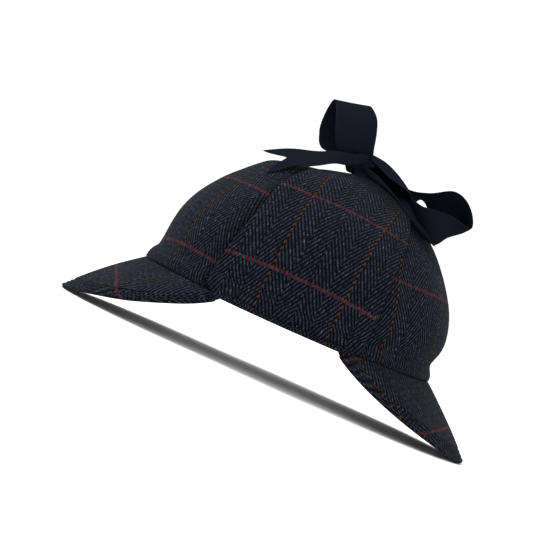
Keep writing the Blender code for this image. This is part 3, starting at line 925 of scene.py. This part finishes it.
@dataclass
class Peak:
    """A crescent peak: two layers of tweed over a stiffener, with rows of stitching along its edge."""

    form: CrownForm
    name: str
    middle: float
    spread: float
    reach: float
    grain: Grain
    thickness: float = 0.0035
    corner_reach: float = 0.0032
    corner_drop: float = 0.0004
    belly: float = 0.0014
    fullness: float = 0.82
    tucks: Rows = ((0.0052, 0.0034), (0.0042, 0.0020), (0.0032, 0.0008), (0.0022, 0.0), (0.0011, -0.0003))
    clearance: float = 0.0004
    curl: float = 0.55
    foot_flat: float = 0.0005
    unevenness: float = 0.0006
    wavelength: float = 0.05
    wave_seed: int = 11
    edge_radius: float = 0.0016
    stitched_from: float = 0.76
    edge_share: float = 0.04
    stitch_rows: tuple[float, ...] = (0.0028, 0.0058, 0.0088)

    def surface(self) -> Surface:
        """Work out the peak's upper face and its cloth lengths.

        Behind the rim the cloth turns up into the crown. From the rim each line runs outward and down, by
        the reach times a power of one minus the square of the way round, with a slight belly.

        Returns:
            The grid of places, and the grid of cloth lengths.
        """
        slope = math.atan2(self.form.rim, self.reach)
        tip = self.thickness * math.cos(slope) - self.foot_flat
        taper = self.spread / math.sqrt(1 - (self.corner_reach / self.reach) ** (1 / self.fullness))
        across = 1 - 2 * graded(150, 0.012, 7)
        turn = self.middle + across * self.spread
        root = self.form.point(turn, np.zeros_like(turn))
        outward = unit(self.form.normal(turn, np.zeros_like(turn)) * (1, 1, 0))
        drop = self.clearance + self.corner_drop * np.abs(across) ** 6
        span = (1 - (across * self.spread / taper) ** 2) ** self.fullness
        fall = (root[:, 2] - drop - tip) * span
        plain = np.linspace(0, self.stitched_from, 26)[:-1]
        stitched = np.linspace(self.stitched_from, 1 - self.edge_share, 36)
        edge = 1 - self.edge_share * np.linspace(1, 0, 10)[1:] ** 1.3
        out = np.concatenate([plain, stitched, edge])[:, None]
        sheet = root + outward * (self.reach * span * out)[..., None]
        sheet[..., 2] = root[:, 2] - drop - fall * out + self.belly * np.sin(np.pi * out) * span
        wave = ripple(sheet, self.wavelength, self.wave_seed) * np.sin(np.pi * np.clip(out, 0, 0.5)) * span
        sheet[..., 2] += self.unevenness * wave
        inset, rise = np.array(self.tucks).T[..., None]
        tucked = root - outward * inset[..., None]
        tucked[..., 2] += rise - drop
        behind = -inset + np.zeros_like(turn)
        length = np.concatenate([behind, out * span * math.hypot(self.reach, self.form.rim)])
        return np.concatenate([tucked, sheet]), self.laid_flat(root, outward, length)

    def laid_flat(self, root: np.ndarray, outward: np.ndarray, length: np.ndarray) -> np.ndarray:
        """Lay the peak flat and read its cloth lengths.

        Laid flat, the rim is a curve that turns as fast as its normal turns times the curl, and each line
        stands square to it.

        Args:
            root: places along the rim.
            outward: the level directions out from them.
            length: the grid of lengths out along each line, from the rim.

        Returns:
            The grid of cloth lengths.
        """
        facing = -outward[:, 1] * math.cos(math.radians(self.middle))
        heading = np.unwrap(np.arctan2(outward[:, 0], facing)) * self.curl
        ways = np.linalg.norm(np.diff(root[:, :2], axis=0), axis=-1) * np.sign(np.diff(heading))
        turning = (heading[1:] + heading[:-1]) / 2
        curve = np.stack([ways * np.cos(turning), -ways * np.sin(turning)], axis=-1)
        curve = np.pad(np.cumsum(curve, axis=0), ((1, 0), (0, 0)))
        curve = curve - curve[len(curve) // 2]
        flat = curve + length[..., None] * np.stack([np.sin(heading), np.cos(heading)], axis=-1)
        return self.grain.uv(flat[..., 0], flat[..., 1])

    def build(self, material: bpy.types.Material) -> None:
        """Build the peak and dress it in tweed."""
        points, uv = self.surface()
        shell = Shell(self.name, points, uv, self.thickness, self.edge_radius, self.stitch_rows, floor=0.0)
        dress(shell.build(), material, "tweed", self.name.replace("_cloth", ""))


# Outline of an ear flap from the fold to its tip: rise as a share of its height, then its front and back
# reaches as shares of the crown's half length.
FLAP_OUTLINE: Rows = (
    (0.000, 0.487, 0.462),
    (0.014, 0.512, 0.487),
    (0.042, 0.527, 0.500),
    (0.130, 0.518, 0.500),
    (0.250, 0.487, 0.497),
    (0.380, 0.440, 0.497),
    (0.510, 0.398, 0.495),
    (0.630, 0.362, 0.490),
    (0.740, 0.305, 0.470),
    (0.830, 0.235, 0.430),
    (0.920, 0.110, 0.365),
    (1.000, -0.020, 0.292),
)


@dataclass
class EarFlap:
    """An ear flap of two layers of tweed, folded up from the rim and laid against the crown."""

    form: CrownForm
    side: Side
    grain: Grain
    thickness: float = 0.0030
    clearance: float = 0.0006
    lift: float = 0.0042
    lift_start: float = 0.12
    tip_gap: float = 0.0140
    rim_clearance: float = -0.0004
    edge_radius: float = 0.0015
    inner_leaf: tuple[float, ...] = (1.3, 0.6, 0.0)
    inner_lengths: tuple[float, ...] = (2.5, 2.05, 1.6)
    waist_reach: float = 0.07
    waist_share: float = 0.3
    unevenness: float = 0.0005

    def height(self) -> float:
        """Measure the flap along the crown, from the rim to its tip."""
        tip = FLAP_OUTLINE[-1]
        return self.form.side_length((tip[2] - tip[1]) / 2 * self.form.half_length) - self.tip_gap

    def surface(self) -> Surface:
        """Work out the flap's outer face and its cloth lengths.

        Rows follow the outline up the crown, each point pushed out by the clearance, the thickness and a
        lift that grows with the fourth power of the way to the front edge. The rows of the fold come before
        them. Cloth lengths are the way round the crown from its middle, and the way up it.

        Returns:
            The grid of places, and the grid of cloth lengths.
        """
        across = graded(84, 0.03, 7)[None, :]
        low, high = 0.06 * np.linspace(0, 1, 10, endpoint=False), 1 - 0.03 * np.linspace(1, 0, 8)[1:] ** 1.4
        up = np.concatenate([low, np.linspace(0.06, 0.97, 76), high])[:, None]
        table = np.array(FLAP_OUTLINE) * (self.height(), -self.form.half_length, self.form.half_length)
        rise, front, back = np.moveaxis(smooth_curve(table, up), -1, 0)
        y = front + across * (back - front)
        turn, share = self.form.side_place(y, rise + np.zeros_like(y))
        base, normal = self.form.point(turn, share), self.form.normal(turn, share)
        start = np.minimum(up / self.lift_start, 1.0)
        away = self.clearance + self.thickness + self.lift * (1 - across) ** 4 * start * (1 - up) ** 1.5
        away = away + self.unevenness * start * ripple(base, CLOTH_WAVE, CLOTH_SEED)
        points = base + normal * away[..., None]
        level = unit(normal[:1] * (1, 1, 0))
        points[:1] = base[:1] + level * away[:1, :, None]
        fold, before = self.fold(base[:1], level)
        points = np.concatenate([fold, points]) * (self.side.value, 1, 1)
        around = self.round_lengths(y)
        around = np.concatenate([np.repeat(around[:1], len(before), axis=0), around])
        along = np.concatenate([before + np.zeros_like(y[:1]), rise + np.zeros_like(y)])
        uv = self.grain.uv(around, along)
        if self.side is Side.RIGHT:
            points, uv = points[:, ::-1], uv[:, ::-1]
        return points, uv

    def fold(self, rim: np.ndarray, level: np.ndarray) -> Surface:
        """Work out the rows of the fold: three on the leaf inside the rim, then nine round under it.

        Args:
            rim: places along the rim.
            level: the level directions out from them.

        Returns:
            The grid of places, and each row's cloth length, which counts back from the rim.
        """
        turns = np.radians(np.linspace(80.0, 8.0, 9))[:, None, None]
        radius, down = self.thickness, np.array((0, 0, self.thickness))
        low = rim + level * self.clearance
        bend = low + level * radius * np.cos(turns) - down * np.sin(turns)
        inner = low - level * radius * np.array(self.inner_leaf)[:, None, None] - down
        lengths = radius * np.concatenate([self.inner_lengths, turns.ravel()])
        return np.concatenate([inner, bend]) - (0, 0, self.rim_clearance), -lengths[:, None]

    def round_lengths(self, y: np.ndarray) -> np.ndarray:
        """Measure the way round the crown's waist from the middle of its side to each y."""
        lines = np.linspace(-self.waist_reach, self.waist_reach, 141)
        _, centre, half_length, half_width = self.form.ring(np.full_like(lines, self.waist_share))
        width = half_width * np.sqrt(1 - ((lines - centre) / half_length) ** 2)
        ways = np.pad(np.cumsum(np.hypot(np.diff(lines), np.diff(width))), (1, 0))
        return np.interp(y, lines, ways - np.interp(0.0, lines, ways))

    def build(self, material: bpy.types.Material) -> None:
        """Build the flap and dress it in tweed."""
        points, uv = self.surface()
        word = self.side.name.lower()
        # Painted shadow of the back tail on the flap.
        shade = Bow(self.form).contact_shade(points)
        shell = Shell("flap_" + word, points, uv, self.thickness, self.edge_radius, shade=shade)
        dress(shell.build(), material, "tweed", "ear_flap_" + word)


# Ribbons of the bow, in ribbon widths from the knot's centre: the places of both edges (to the wearer's
# left, along the bow, up) of each section, and how far it bends in degrees.
FRONT_LOOP: Rows = (
    (0.12, -0.34, 0.14, 0.04, 0.14, 0.12, 50),
    (0.36, -0.70, 0.33, 0.10, 0.15, 0.33, 10),
    (0.56, -0.78, 0.76, 0.20, 0.22, 0.76, 6),
    (0.50, -0.76, 1.22, 0.12, 0.22, 1.12, 6),
    (0.12, -0.80, 1.55, -0.26, 0.06, 1.40, 4),
    (-0.28, -1.02, 1.22, -0.66, -0.10, 1.12, 4),
    (-0.36, -1.15, 0.80, -0.74, -0.20, 0.76, 6),
    (-0.28, -1.06, 0.38, -0.56, -0.14, 0.36, 10),
    (-0.06, -0.34, 0.16, -0.12, 0.06, 0.14, 50),
)
BACK_LOOP: Rows = (
    (0.20, 0.34, -0.03, -0.12, 0.36, -0.12, -60),
    (0.46, 0.72, -0.44, -0.22, 0.78, -0.60, -20),
    (0.52, 1.19, -0.93, 0.02, 1.10, -1.36, -14),
    (0.50, 1.52, -1.06, 0.12, 1.53, -1.90, -8),
    (0.42, 2.02, -1.25, -0.05, 1.92, -1.74, -8),
    (0.20, 2.44, -1.52, -0.60, 2.38, -1.58, -8),
    (0.02, 2.50, -1.22, -0.88, 2.24, -1.36, -8),
    (-0.20, 2.36, -0.84, -1.02, 1.94, -1.34, -10),
    (-0.40, 2.06, -0.63, -1.10, 1.57, -1.16, -12),
    (-0.45, 1.50, -0.68, -1.00, 1.33, -0.83, -20),
    (-0.34, 0.95, -0.56, -0.76, 0.92, -0.94, -30),
    (-0.14, 0.36, -0.06, -0.34, 0.26, -0.16, -60),
)
FRONT_TAIL: Rows = (
    (0.32, 0.04, 0.24, 0.42, 0.00, 0.04, 50),
    (0.44, -0.35, 0.25, 0.56, -0.42, -0.03, 50),
    (0.60, -0.75, 0.31, 0.86, -0.80, 0.01, 40),
    (0.42, -1.20, 0.31, 1.06, -1.20, -0.04, 24),
    (0.24, -1.85, 0.38, 1.04, -1.84, -0.10, 16),
    (0.12, -2.50, 0.34, 1.12, -2.42, -0.26, 12),
)
# Sections of the back tail, folded lengthwise: its middle line, then half its height and half its depth, and
# the angles from the top where the ribbon's edges lie.
BACK_TAIL: Rows = (
    (0.28, 0.012, 0.057, 0.20, 0.09, 66, -235),
    (0.45, 0.251, -0.146, 0.250, 0.09, 78, -244),
    (0.60, 0.490, -0.397, 0.255, 0.10, 76, -246),
    (0.66, 0.754, -0.720, 0.225, 0.17, 38, -242),
    (0.62, 0.900, -1.000, 0.190, 0.35, -44, -244),
    (0.66, 1.150, -1.345, 0.185, 0.43, -78, -252),
    (0.58, 1.400, -1.640, 0.165, 0.43, -86, -258),
    (0.38, 1.600, -1.945, 0.085, 0.42, -90, -266),
)


@dataclass
class Bow:
    """The ribbon bow: two ties from the flaps' tips, a knot, two loops and two notched tails."""

    form: CrownForm
    width: float = 0.028
    thickness: float = 0.0007
    lean: float = 24.0
    knot_side: float = 0.0050
    knot_back: float = 0.0080
    knot_length: float = 0.0240
    knot_forward: float = 0.0030
    knot_width: float = 0.0170
    knot_height: float = 0.0124
    knot_lift: float = 0.0012
    knot_ripple: float = 0.075
    knot_squeeze: float = 0.10
    knot_cloth: tuple[float, float] = (0.013, 0.007)
    flap_stack: float = 0.0035
    flap_front: float = -0.045
    flap_front_fade: float = 0.015
    flap_back: float = 0.052
    flap_back_fade: float = 0.010
    clearance: float = 0.0012
    clear_radius: float = 0.0845
    least_slope: float = 0.35
    edge_radius: float = 0.0004
    notch: float = 0.0130
    pleats: float = 0.0007
    pleat_fade: float = 0.009
    row_length: float = 0.0009
    tie_overlap: float = 0.0015
    tie_sink: float = 0.001
    # Painted shade inside the folded back tail: its depth, and the share of the way along where it ends and
    # over which it fades.
    fold_shade: float = 0.88
    fold_painted_shade_end: float = 0.62
    fold_painted_shade_fade: float = 0.15
    # Painted shadow of the back tail on the cloth below it: its depth and reach.
    contact_painted_shade_depth: float = 0.80
    contact_painted_shade_reach: float = 0.0190
    least_area: float = 0.31

    def centre(self) -> np.ndarray:
        """Place the knot's centre over the flaps' tips."""
        x, y = np.array([self.knot_side]), np.array([self.knot_back + self.form.shift()])
        top = self.form.point(*self.form.above(x, y))[0]
        height = top[2] + self.flap_stack + self.knot_lift + self.knot_height / 2
        return np.array((self.knot_side, self.knot_back + self.form.shift(), height))

    def place(self, spots: np.ndarray) -> np.ndarray:
        """Turn places in ribbon widths in the bow's own frame, which leans, into places on the hat."""
        side, along, up = np.moveaxis(spots * self.width, -1, 0)
        cosine, sine = math.cos(math.radians(self.lean)), math.sin(math.radians(self.lean))
        moved = np.stack([side, along * cosine - up * sine, along * sine + up * cosine], axis=-1)
        return self.centre() + moved

    def lift_clear(self, points: np.ndarray) -> np.ndarray:
        """Raise points that would lie in the crown or in a flap.

        A point's height becomes at least the crown's there plus the flap, the clearance and the ribbon,
        divided by the upward part of the crown's normal.

        Args:
            points: places on the ribbon.

        Returns:
            The places, raised where needed.
        """
        x, y, z = np.moveaxis(points, -1, 0)
        near = np.hypot(x, y - self.form.apex_back) < self.clear_radius
        turn, share = self.form.above(x, y)
        slope = np.maximum(self.form.normal(turn, share)[..., 2], self.least_slope)
        on_flap = np.clip((y - self.flap_front) / self.flap_front_fade, 0.0, 1.0)
        on_flap = on_flap * np.clip((self.flap_back - y) / self.flap_back_fade, 0.0, 1.0)
        least = self.form.point(turn, share)[..., 2] + (self.flap_stack * on_flap + self.clearance) / slope
        raised = points.copy()
        raised[..., 2] = np.where(near, np.maximum(z, least), z)
        return raised

    def contact_shade(self, points: np.ndarray) -> np.ndarray:
        """Paint shade on cloth close to the back tail, in place of its shadow where little light reaches.

        The painted shade is a bell of the fourth power of the distance to the tail's middle line.

        Args:
            points: places on the cloth.

        Returns:
            The painted shade of each place.
        """
        line = self.place(smooth_curve(np.array(BACK_TAIL)[:, :3], np.linspace(0.0, 1.0, 60)))
        gap = np.linalg.norm(points[..., None, :] - line, axis=-1).min(axis=-1)
        return self.contact_painted_shade_depth * np.exp(-((gap / self.contact_painted_shade_reach) ** 4))

    def strip(self, rows: Rows, pleated_ends: tuple[bool, bool], notch: float) -> Surface:
        """Work out a ribbon's middle surface.

        Each section is an arc between its two edges that turns by its bend, and the sections blend along a
        smooth curve. At a pleated end the ribbon ripples across by a cosine of five half waves, which dies
        away from the knot.

        Args:
            rows: the ribbon's table of sections.
            pleated_ends: whether its first and last ends go into the knot.
            notch: depth of the V cut in its last end.

        Returns:
            The grid of places, and the grid of cloth lengths.
        """
        table = np.array(rows)
        path = np.concatenate([self.place(table[:, :3]), self.place(table[:, 3:6]), table[:, 6:]], axis=1)
        middles = (path[:, :3] + path[:, 3:6]) / 2
        length = np.linalg.norm(np.diff(middles, axis=0), axis=1).sum()
        u = graded(26, 0.03, 4)[None, :]
        v = np.linspace(0, 1, max(int(length / self.row_length), 30))[:, None]
        along = v * (1 - notch / length * (1 - np.abs(2 * u - 1)))
        section = smooth_curve(path, along)
        ahead = smooth_curve(path, np.minimum(along + 0.01, 1.0))
        behind = smooth_curve(path, np.maximum(along - 0.01, 0.0))
        tangent = unit(ahead[..., :3] + ahead[..., 3:6] - behind[..., :3] - behind[..., 3:6])
        left, across = section[..., :3], section[..., 3:6] - section[..., :3]
        bend = np.radians(section[..., 6]) + 1e-4
        normal = unit(np.cross(tangent, across))
        angle = bend * (u - 0.5)
        sagitta = (np.cos(angle) - np.cos(bend / 2)) / (2 * np.sin(bend / 2))
        sideways = 0.5 + np.sin(angle) / (2 * np.sin(bend / 2))
        reach = np.linalg.norm(across, axis=-1)
        fade = pleated_ends[0] * np.exp(-along * length / self.pleat_fade)
        fade = fade + pleated_ends[1] * np.exp(-(1 - along) * length / self.pleat_fade)
        pleat = self.pleats * np.cos(5 * np.pi * u) * fade
        points = left + across * sideways[..., None] + normal * (sagitta * reach + pleat)[..., None]
        points = self.lift_clear(points)
        across_cloth = (u - 0.5) * self.width + np.zeros_like(along)
        return points, np.stack([across_cloth, along * length], axis=-1)

    def channel(self, rows: Rows, notch: float) -> Surface:
        """Work out the middle surface of a ribbon folded lengthwise.

        Each section is an arc of an ellipse that stands square to the middle line, seen from the side.

        Args:
            rows: the ribbon's table of sections.
            notch: depth of the V cut in its last end.

        Returns:
            The grid of places, and the grid of cloth lengths.
        """
        table = np.array(rows)
        length = self.width * np.linalg.norm(np.diff(table[:, :3], axis=0), axis=1).sum()
        u = graded(40, 0.03, 4)[None, :]
        v = np.linspace(0, 1, 90)[:, None]
        way = v * (1 - notch / length * (1 - np.abs(2 * u - 1)))
        section = smooth_curve(table, way)
        ahead = smooth_curve(table, np.minimum(way + 0.02, 1.0))[..., :3]
        heading = unit((ahead - smooth_curve(table, np.maximum(way - 0.02, 0.0))[..., :3]) * (0, 1, 1))
        side = np.array((1.0, 0.0, 0.0))
        angle = np.radians(section[..., 6] + u * (section[..., 5] - section[..., 6]))
        tall = np.cross(side, heading) * (section[..., 3] * np.cos(angle))[..., None]
        spots = section[..., :3] + tall + side * (section[..., 4] * np.sin(angle))[..., None]
        points = self.lift_clear(self.place(spots))
        across_cloth = (u - 0.5) * self.width + np.zeros_like(way)
        return points, np.stack([across_cloth, way * length], axis=-1)

    def ribbon(
        self,
        name: str,
        surface: Surface,
        material: bpy.types.Material,
        held: str,
        node: str,
        inner_shade: np.ndarray | None = None,
    ) -> None:
        """Args:
            name: the piece's name.
            surface: its grid of places and of cloth lengths.
            material: its finish.
            held: how it is held, in the frame's words; not used.
            node: the solid that it replaces.
            inner_shade: painted shade on each place of its inner face, in place of the shadow deep in a
                fold.
        """
        points, uv = surface
        normal = unit(np.cross(np.gradient(points, axis=1), np.gradient(points, axis=0)))
        outer = points + normal * self.thickness / 2
        shell = Shell(name, outer, uv, self.thickness, self.edge_radius)
        if inner_shade is not None:
            shell.shade = np.zeros(points.shape[:2])
            shell.inner_shade = inner_shade
        piece = shell.build()
        dress(piece, material, "ribbon", node)

    def knot(self, material: bpy.types.Material) -> None:
        """Build the knot: a barrel round the bow's own line, with the ribbon's pleats running round it.

        Along the barrel its radius is a power of one minus the fourth power of the way from its middle, and
        the pleats add a cosine of seven half waves that slant with the turn.
        """
        turn = np.linspace(0, 2 * np.pi, 73)[:, None]
        way = np.linspace(-1, 1, 49)[None, :]
        barrel = (1 - np.abs(way) ** 4) ** 0.34
        pleat = 1 + self.knot_ripple * np.cos(7 * np.pi * way / 2 + 0.8 * np.sin(turn)) * (1 - way**4)
        squeeze = 1 + self.knot_squeeze * np.cos(2 * turn + 0.5)
        side = self.knot_width / 2 * barrel * pleat * squeeze * np.cos(turn)
        along = self.knot_length / 2 * way - self.knot_forward
        up = self.knot_height / 2 * barrel * pleat * np.sin(turn)
        points = self.place(np.stack(np.broadcast_arrays(side, along, up), axis=-1) / self.width)
        rings, columns = points.shape[:2]
        body = np.arange((rings - 1) * (columns - 2)).reshape(rings - 1, -1) + 2
        first, last = np.zeros((rings - 1, 1), int), np.ones((rings - 1, 1), int)
        index = np.concatenate([first, body, last], axis=1)
        quads = grid_faces(np.concatenate([index, index[:1]]))
        corners = grid_faces(np.arange(rings * columns).reshape(rings, columns))
        lengths = np.stack(np.broadcast_arrays(way, turn), axis=-1).reshape(-1, 2) * self.knot_cloth
        ends = np.stack([points[:, 0].mean(axis=0), points[:, -1].mean(axis=0)])
        spots = np.concatenate([ends, points[:-1, 1:-1].reshape(-1, 3)])
        wrap = capped_object("bow_knot_wrap", spots, quads, lengths[corners])
        dress(wrap, material, "ribbon", "bow_knot")

    def tie(self, side: Side) -> Surface:
        """Work out the ribbon's root, a strip that gathers from a flap's tip up to the knot's foot."""
        tip = FLAP_OUTLINE[-1]
        middle = (tip[2] - tip[1]) / 2 * self.form.half_length
        rise = self.form.side_length(middle) - EarFlap.tip_gap + self.tie_overlap
        foot = self.centre() + (side.value * self.knot_width * 0.28, 0.0, -self.knot_height * 0.2)
        u = graded(22, 0.03, 4)[None, :] - 0.5
        v = np.linspace(0, 1, 20)[:, None]
        y = middle + u * self.width + np.zeros_like(v)
        turn, share = self.form.side_place(y, np.full_like(y, rise))
        start = self.form.point(turn, share) + self.form.normal(turn, share) * self.flap_stack * 0.6
        start = start * (side.value, 1, 1)
        sole = np.broadcast_arrays(0 * u, u * self.knot_length * 0.5, -self.tie_sink + 0 * u)
        end = foot + np.stack(sole, axis=-1)
        points = start + (end - start) * v[..., None]
        points[..., 2] += self.pleats * np.cos(7 * np.pi * (u + 0.5)) * v
        length = np.linalg.norm(end.mean(axis=(0, 1)) - start.mean(axis=(0, 1)))
        uv = np.stack(np.broadcast_arrays(u * self.width + 0 * v, v * length + 0 * u), axis=-1)
        if side is Side.RIGHT:
            return points[:, ::-1], uv[:, ::-1]
        return points, uv

    def build(self, material: bpy.types.Material) -> None:
        """Build the bow and dress it in ribbon."""
        self.knot(material)
        front_loop = self.strip(FRONT_LOOP, (True, True), 0.0)
        self.ribbon("bow_front_loop", front_loop, material, "folded", "bow_loop_front")
        back_loop = self.strip(BACK_LOOP, (True, True), 0.0)
        self.ribbon("bow_back_loop", back_loop, material, "folded", "bow_loop_back")
        front_tail = self.strip(FRONT_TAIL, (True, False), self.notch)
        self.ribbon("bow_front_tail", front_tail, material, "draped", "ribbon_tail_front")
        back_tail = self.channel(BACK_TAIL, self.notch)
        # Painted shade on the inner face of the folded tail, in place of the shadow deep in the fold, fading
        # out before its open end.
        way = back_tail[1][..., 1] / back_tail[1][..., 1].max()
        painted_shade_depth = self.fold_shade * np.clip((self.fold_painted_shade_end - way) / self.fold_painted_shade_fade, 0.0, 1.0)
        self.ribbon("bow_back_tail", back_tail, material, "draped", "ribbon_tail_back", painted_shade_depth)
        for side in Side:
            word = side.name.lower()
            self.ribbon("bow_tie_" + word, self.tie(side), material, "gathered", "ribbon_tie_" + word)


def capped_object(name: str, points: np.ndarray, faces: np.ndarray, uv: np.ndarray) -> bpy.types.Object:
    """Make a mesh whose grid closes in two single points.

    Args:
        name: the piece's name.
        points: one row of x, y and z for each vertex.
        faces: four vertex numbers for each face, two of them the same beside a closing point.
        uv: for each face, the cloth lengths at its four corners.

    Returns:
        The object, with triangles beside the closing points.
    """
    flat = (faces == np.roll(faces, 1, axis=1)).any(axis=1)
    mesh = bpy.data.meshes.new(name)
    triangles = [list(dict.fromkeys(face)) for face in faces[flat].tolist()]
    mesh.from_pydata(points.tolist(), [], faces[~flat].tolist() + triangles)
    layer = mesh.uv_layers.new(name=CLOTH_UV)
    values = [uv[~flat].reshape(-1, 2)]
    for face, spots in zip(faces[flat], uv[flat]):
        _, first = np.unique(face, return_index=True)
        values.append(spots[np.sort(first)])
    layer.uv.foreach_set("vector", np.concatenate(values).astype(np.float32).ravel())
    return show(name, mesh)


@dataclass
class Studio:
    """The floor, the lights and the camera."""

    target: tuple[float, float, float] = (0.0, -0.0263, 0.0678)
    frame_width: float = 0.3571
    distance: float = 2.0
    elevation: float = 1.0
    roll: float = 24.0
    sensor: float = 36.0
    floor_half: float = 14.0
    key_light: tuple[tuple[float, ...], float, float] = ((-0.35, -1.1, 2.4), 1.6, 64.0)
    fill_light: tuple[tuple[float, ...], float, float] = ((2.3, 0.2, 0.7), 1.5, 14.0)
    sky_strength: float = 1.12

    def camera(self) -> None:
        """Aim the camera at the hat's left side, rolled as the photograph is against the hat."""
        rise, roll = math.radians(self.elevation), math.radians(self.roll)
        back = Vector((math.cos(rise), 0.0, math.sin(rise)))
        level, upright = Vector((0.0, 1.0, 0.0)), Vector((-math.sin(rise), 0.0, math.cos(rise)))
        right = level * math.cos(roll) + upright * math.sin(roll)
        up = upright * math.cos(roll) - level * math.sin(roll)
        data = bpy.data.cameras.new("camera")
        data.sensor_width = self.sensor
        data.lens = self.sensor * self.distance / self.frame_width
        data.clip_end = 100.0
        obj = bpy.data.objects.new("camera", data)
        turned = Matrix((right, up, back)).transposed().to_4x4()
        turned.translation = Vector(self.target) + back * self.distance
        obj.matrix_world = turned
        bpy.context.scene.collection.objects.link(obj)
        bpy.context.scene.camera = obj

    def area_light(self, name: str, place: tuple[float, ...], size: float, power: float) -> None:
        """Hang a square soft light that faces the hat."""
        data = bpy.data.lights.new(name, "AREA")
        data.size = size
        data.energy = power
        obj = bpy.data.objects.new(name, data)
        obj.location = place
        aim = Vector(self.target) - Vector(place)
        obj.rotation_euler = aim.to_track_quat("-Z", "Y").to_euler()
        bpy.context.scene.collection.objects.link(obj)

    def floor(self) -> None:
        """Lay the floor, a wide square sheet at the height that the hat stands on."""
        side = np.array((-self.floor_half, self.floor_half))
        x, y = np.meshgrid(side, side)
        points = np.stack([x, y, np.zeros_like(x)], axis=-1).reshape(-1, 3)
        faces = np.array([[0, 1, 3, 2]])
        floor = mesh_object("floor", points, faces, points[faces][..., :2])
        floor.data.materials.append(FloorFinish().material())

    def build(self) -> None:
        """Set up the whole studio."""
        self.floor()
        self.area_light("key_light", *self.key_light)
        self.area_light("fill_light", *self.fill_light)
        world = bpy.data.worlds.new("studio")
        world.use_nodes = True
        sky = world.node_tree.nodes["Background"]
        sky.inputs[0].default_value = (1.0, 1.0, 1.0, 1.0)
        sky.inputs[1].default_value = self.sky_strength
        bpy.context.scene.world = world
        bpy.context.scene.view_settings.view_transform = "Standard"
        self.camera()


# Where the peaks' corners are on the rim: a share of the crown's half length from its middle, and the
# metres past it.
FRONT_CORNER = (0.365, 0.0093)
BACK_CORNER = (0.380, -0.0006)


def corner_spread(form: CrownForm, corner: tuple[float, float]) -> float:
    """Find the degrees round the rim from a peak's middle to its corner, as the angle of that cosine."""
    share, more = corner
    return math.degrees(math.acos(share + more / form.half_length))


def main() -> None:
    """Build and dress the hat, then set up the studio."""
    logging.basicConfig(level=logging.INFO, format="%(name)s %(message)s")
    tweed, ribbon = TweedFinish().material(), RibbonFinish().material()
    form = CrownForm()
    Crown(form).build(tweed)
    front_spread, back_spread = corner_spread(form, FRONT_CORNER), corner_spread(form, BACK_CORNER)
    front_grain = Grain(0.0605, 0.0203, lean=-0.28, bend=2.0, droop=-1.9, reach=0.062)
    back_grain = Grain(0.0903, 0.0335, lean=-0.2, bend=-4.0, droop=0.55)
    Peak(form, "front_peak_cloth", 0.0, front_spread, form.front_reach, front_grain).build(tweed)
    Peak(form, "back_peak_cloth", 180.0, back_spread, form.back_reach, back_grain).build(tweed)
    EarFlap(form, Side.LEFT, Grain(-0.0226, 0.0305, bend=0.85, tilt=0.01, droop=1.1)).build(tweed)
    EarFlap(form, Side.RIGHT, Grain(-0.0020, 0.0180, bend=0.85, tilt=0.01, droop=1.1)).build(tweed)
    Bow(form).build(ribbon)
    Studio().build()


if __name__ == "__main__":
    main()
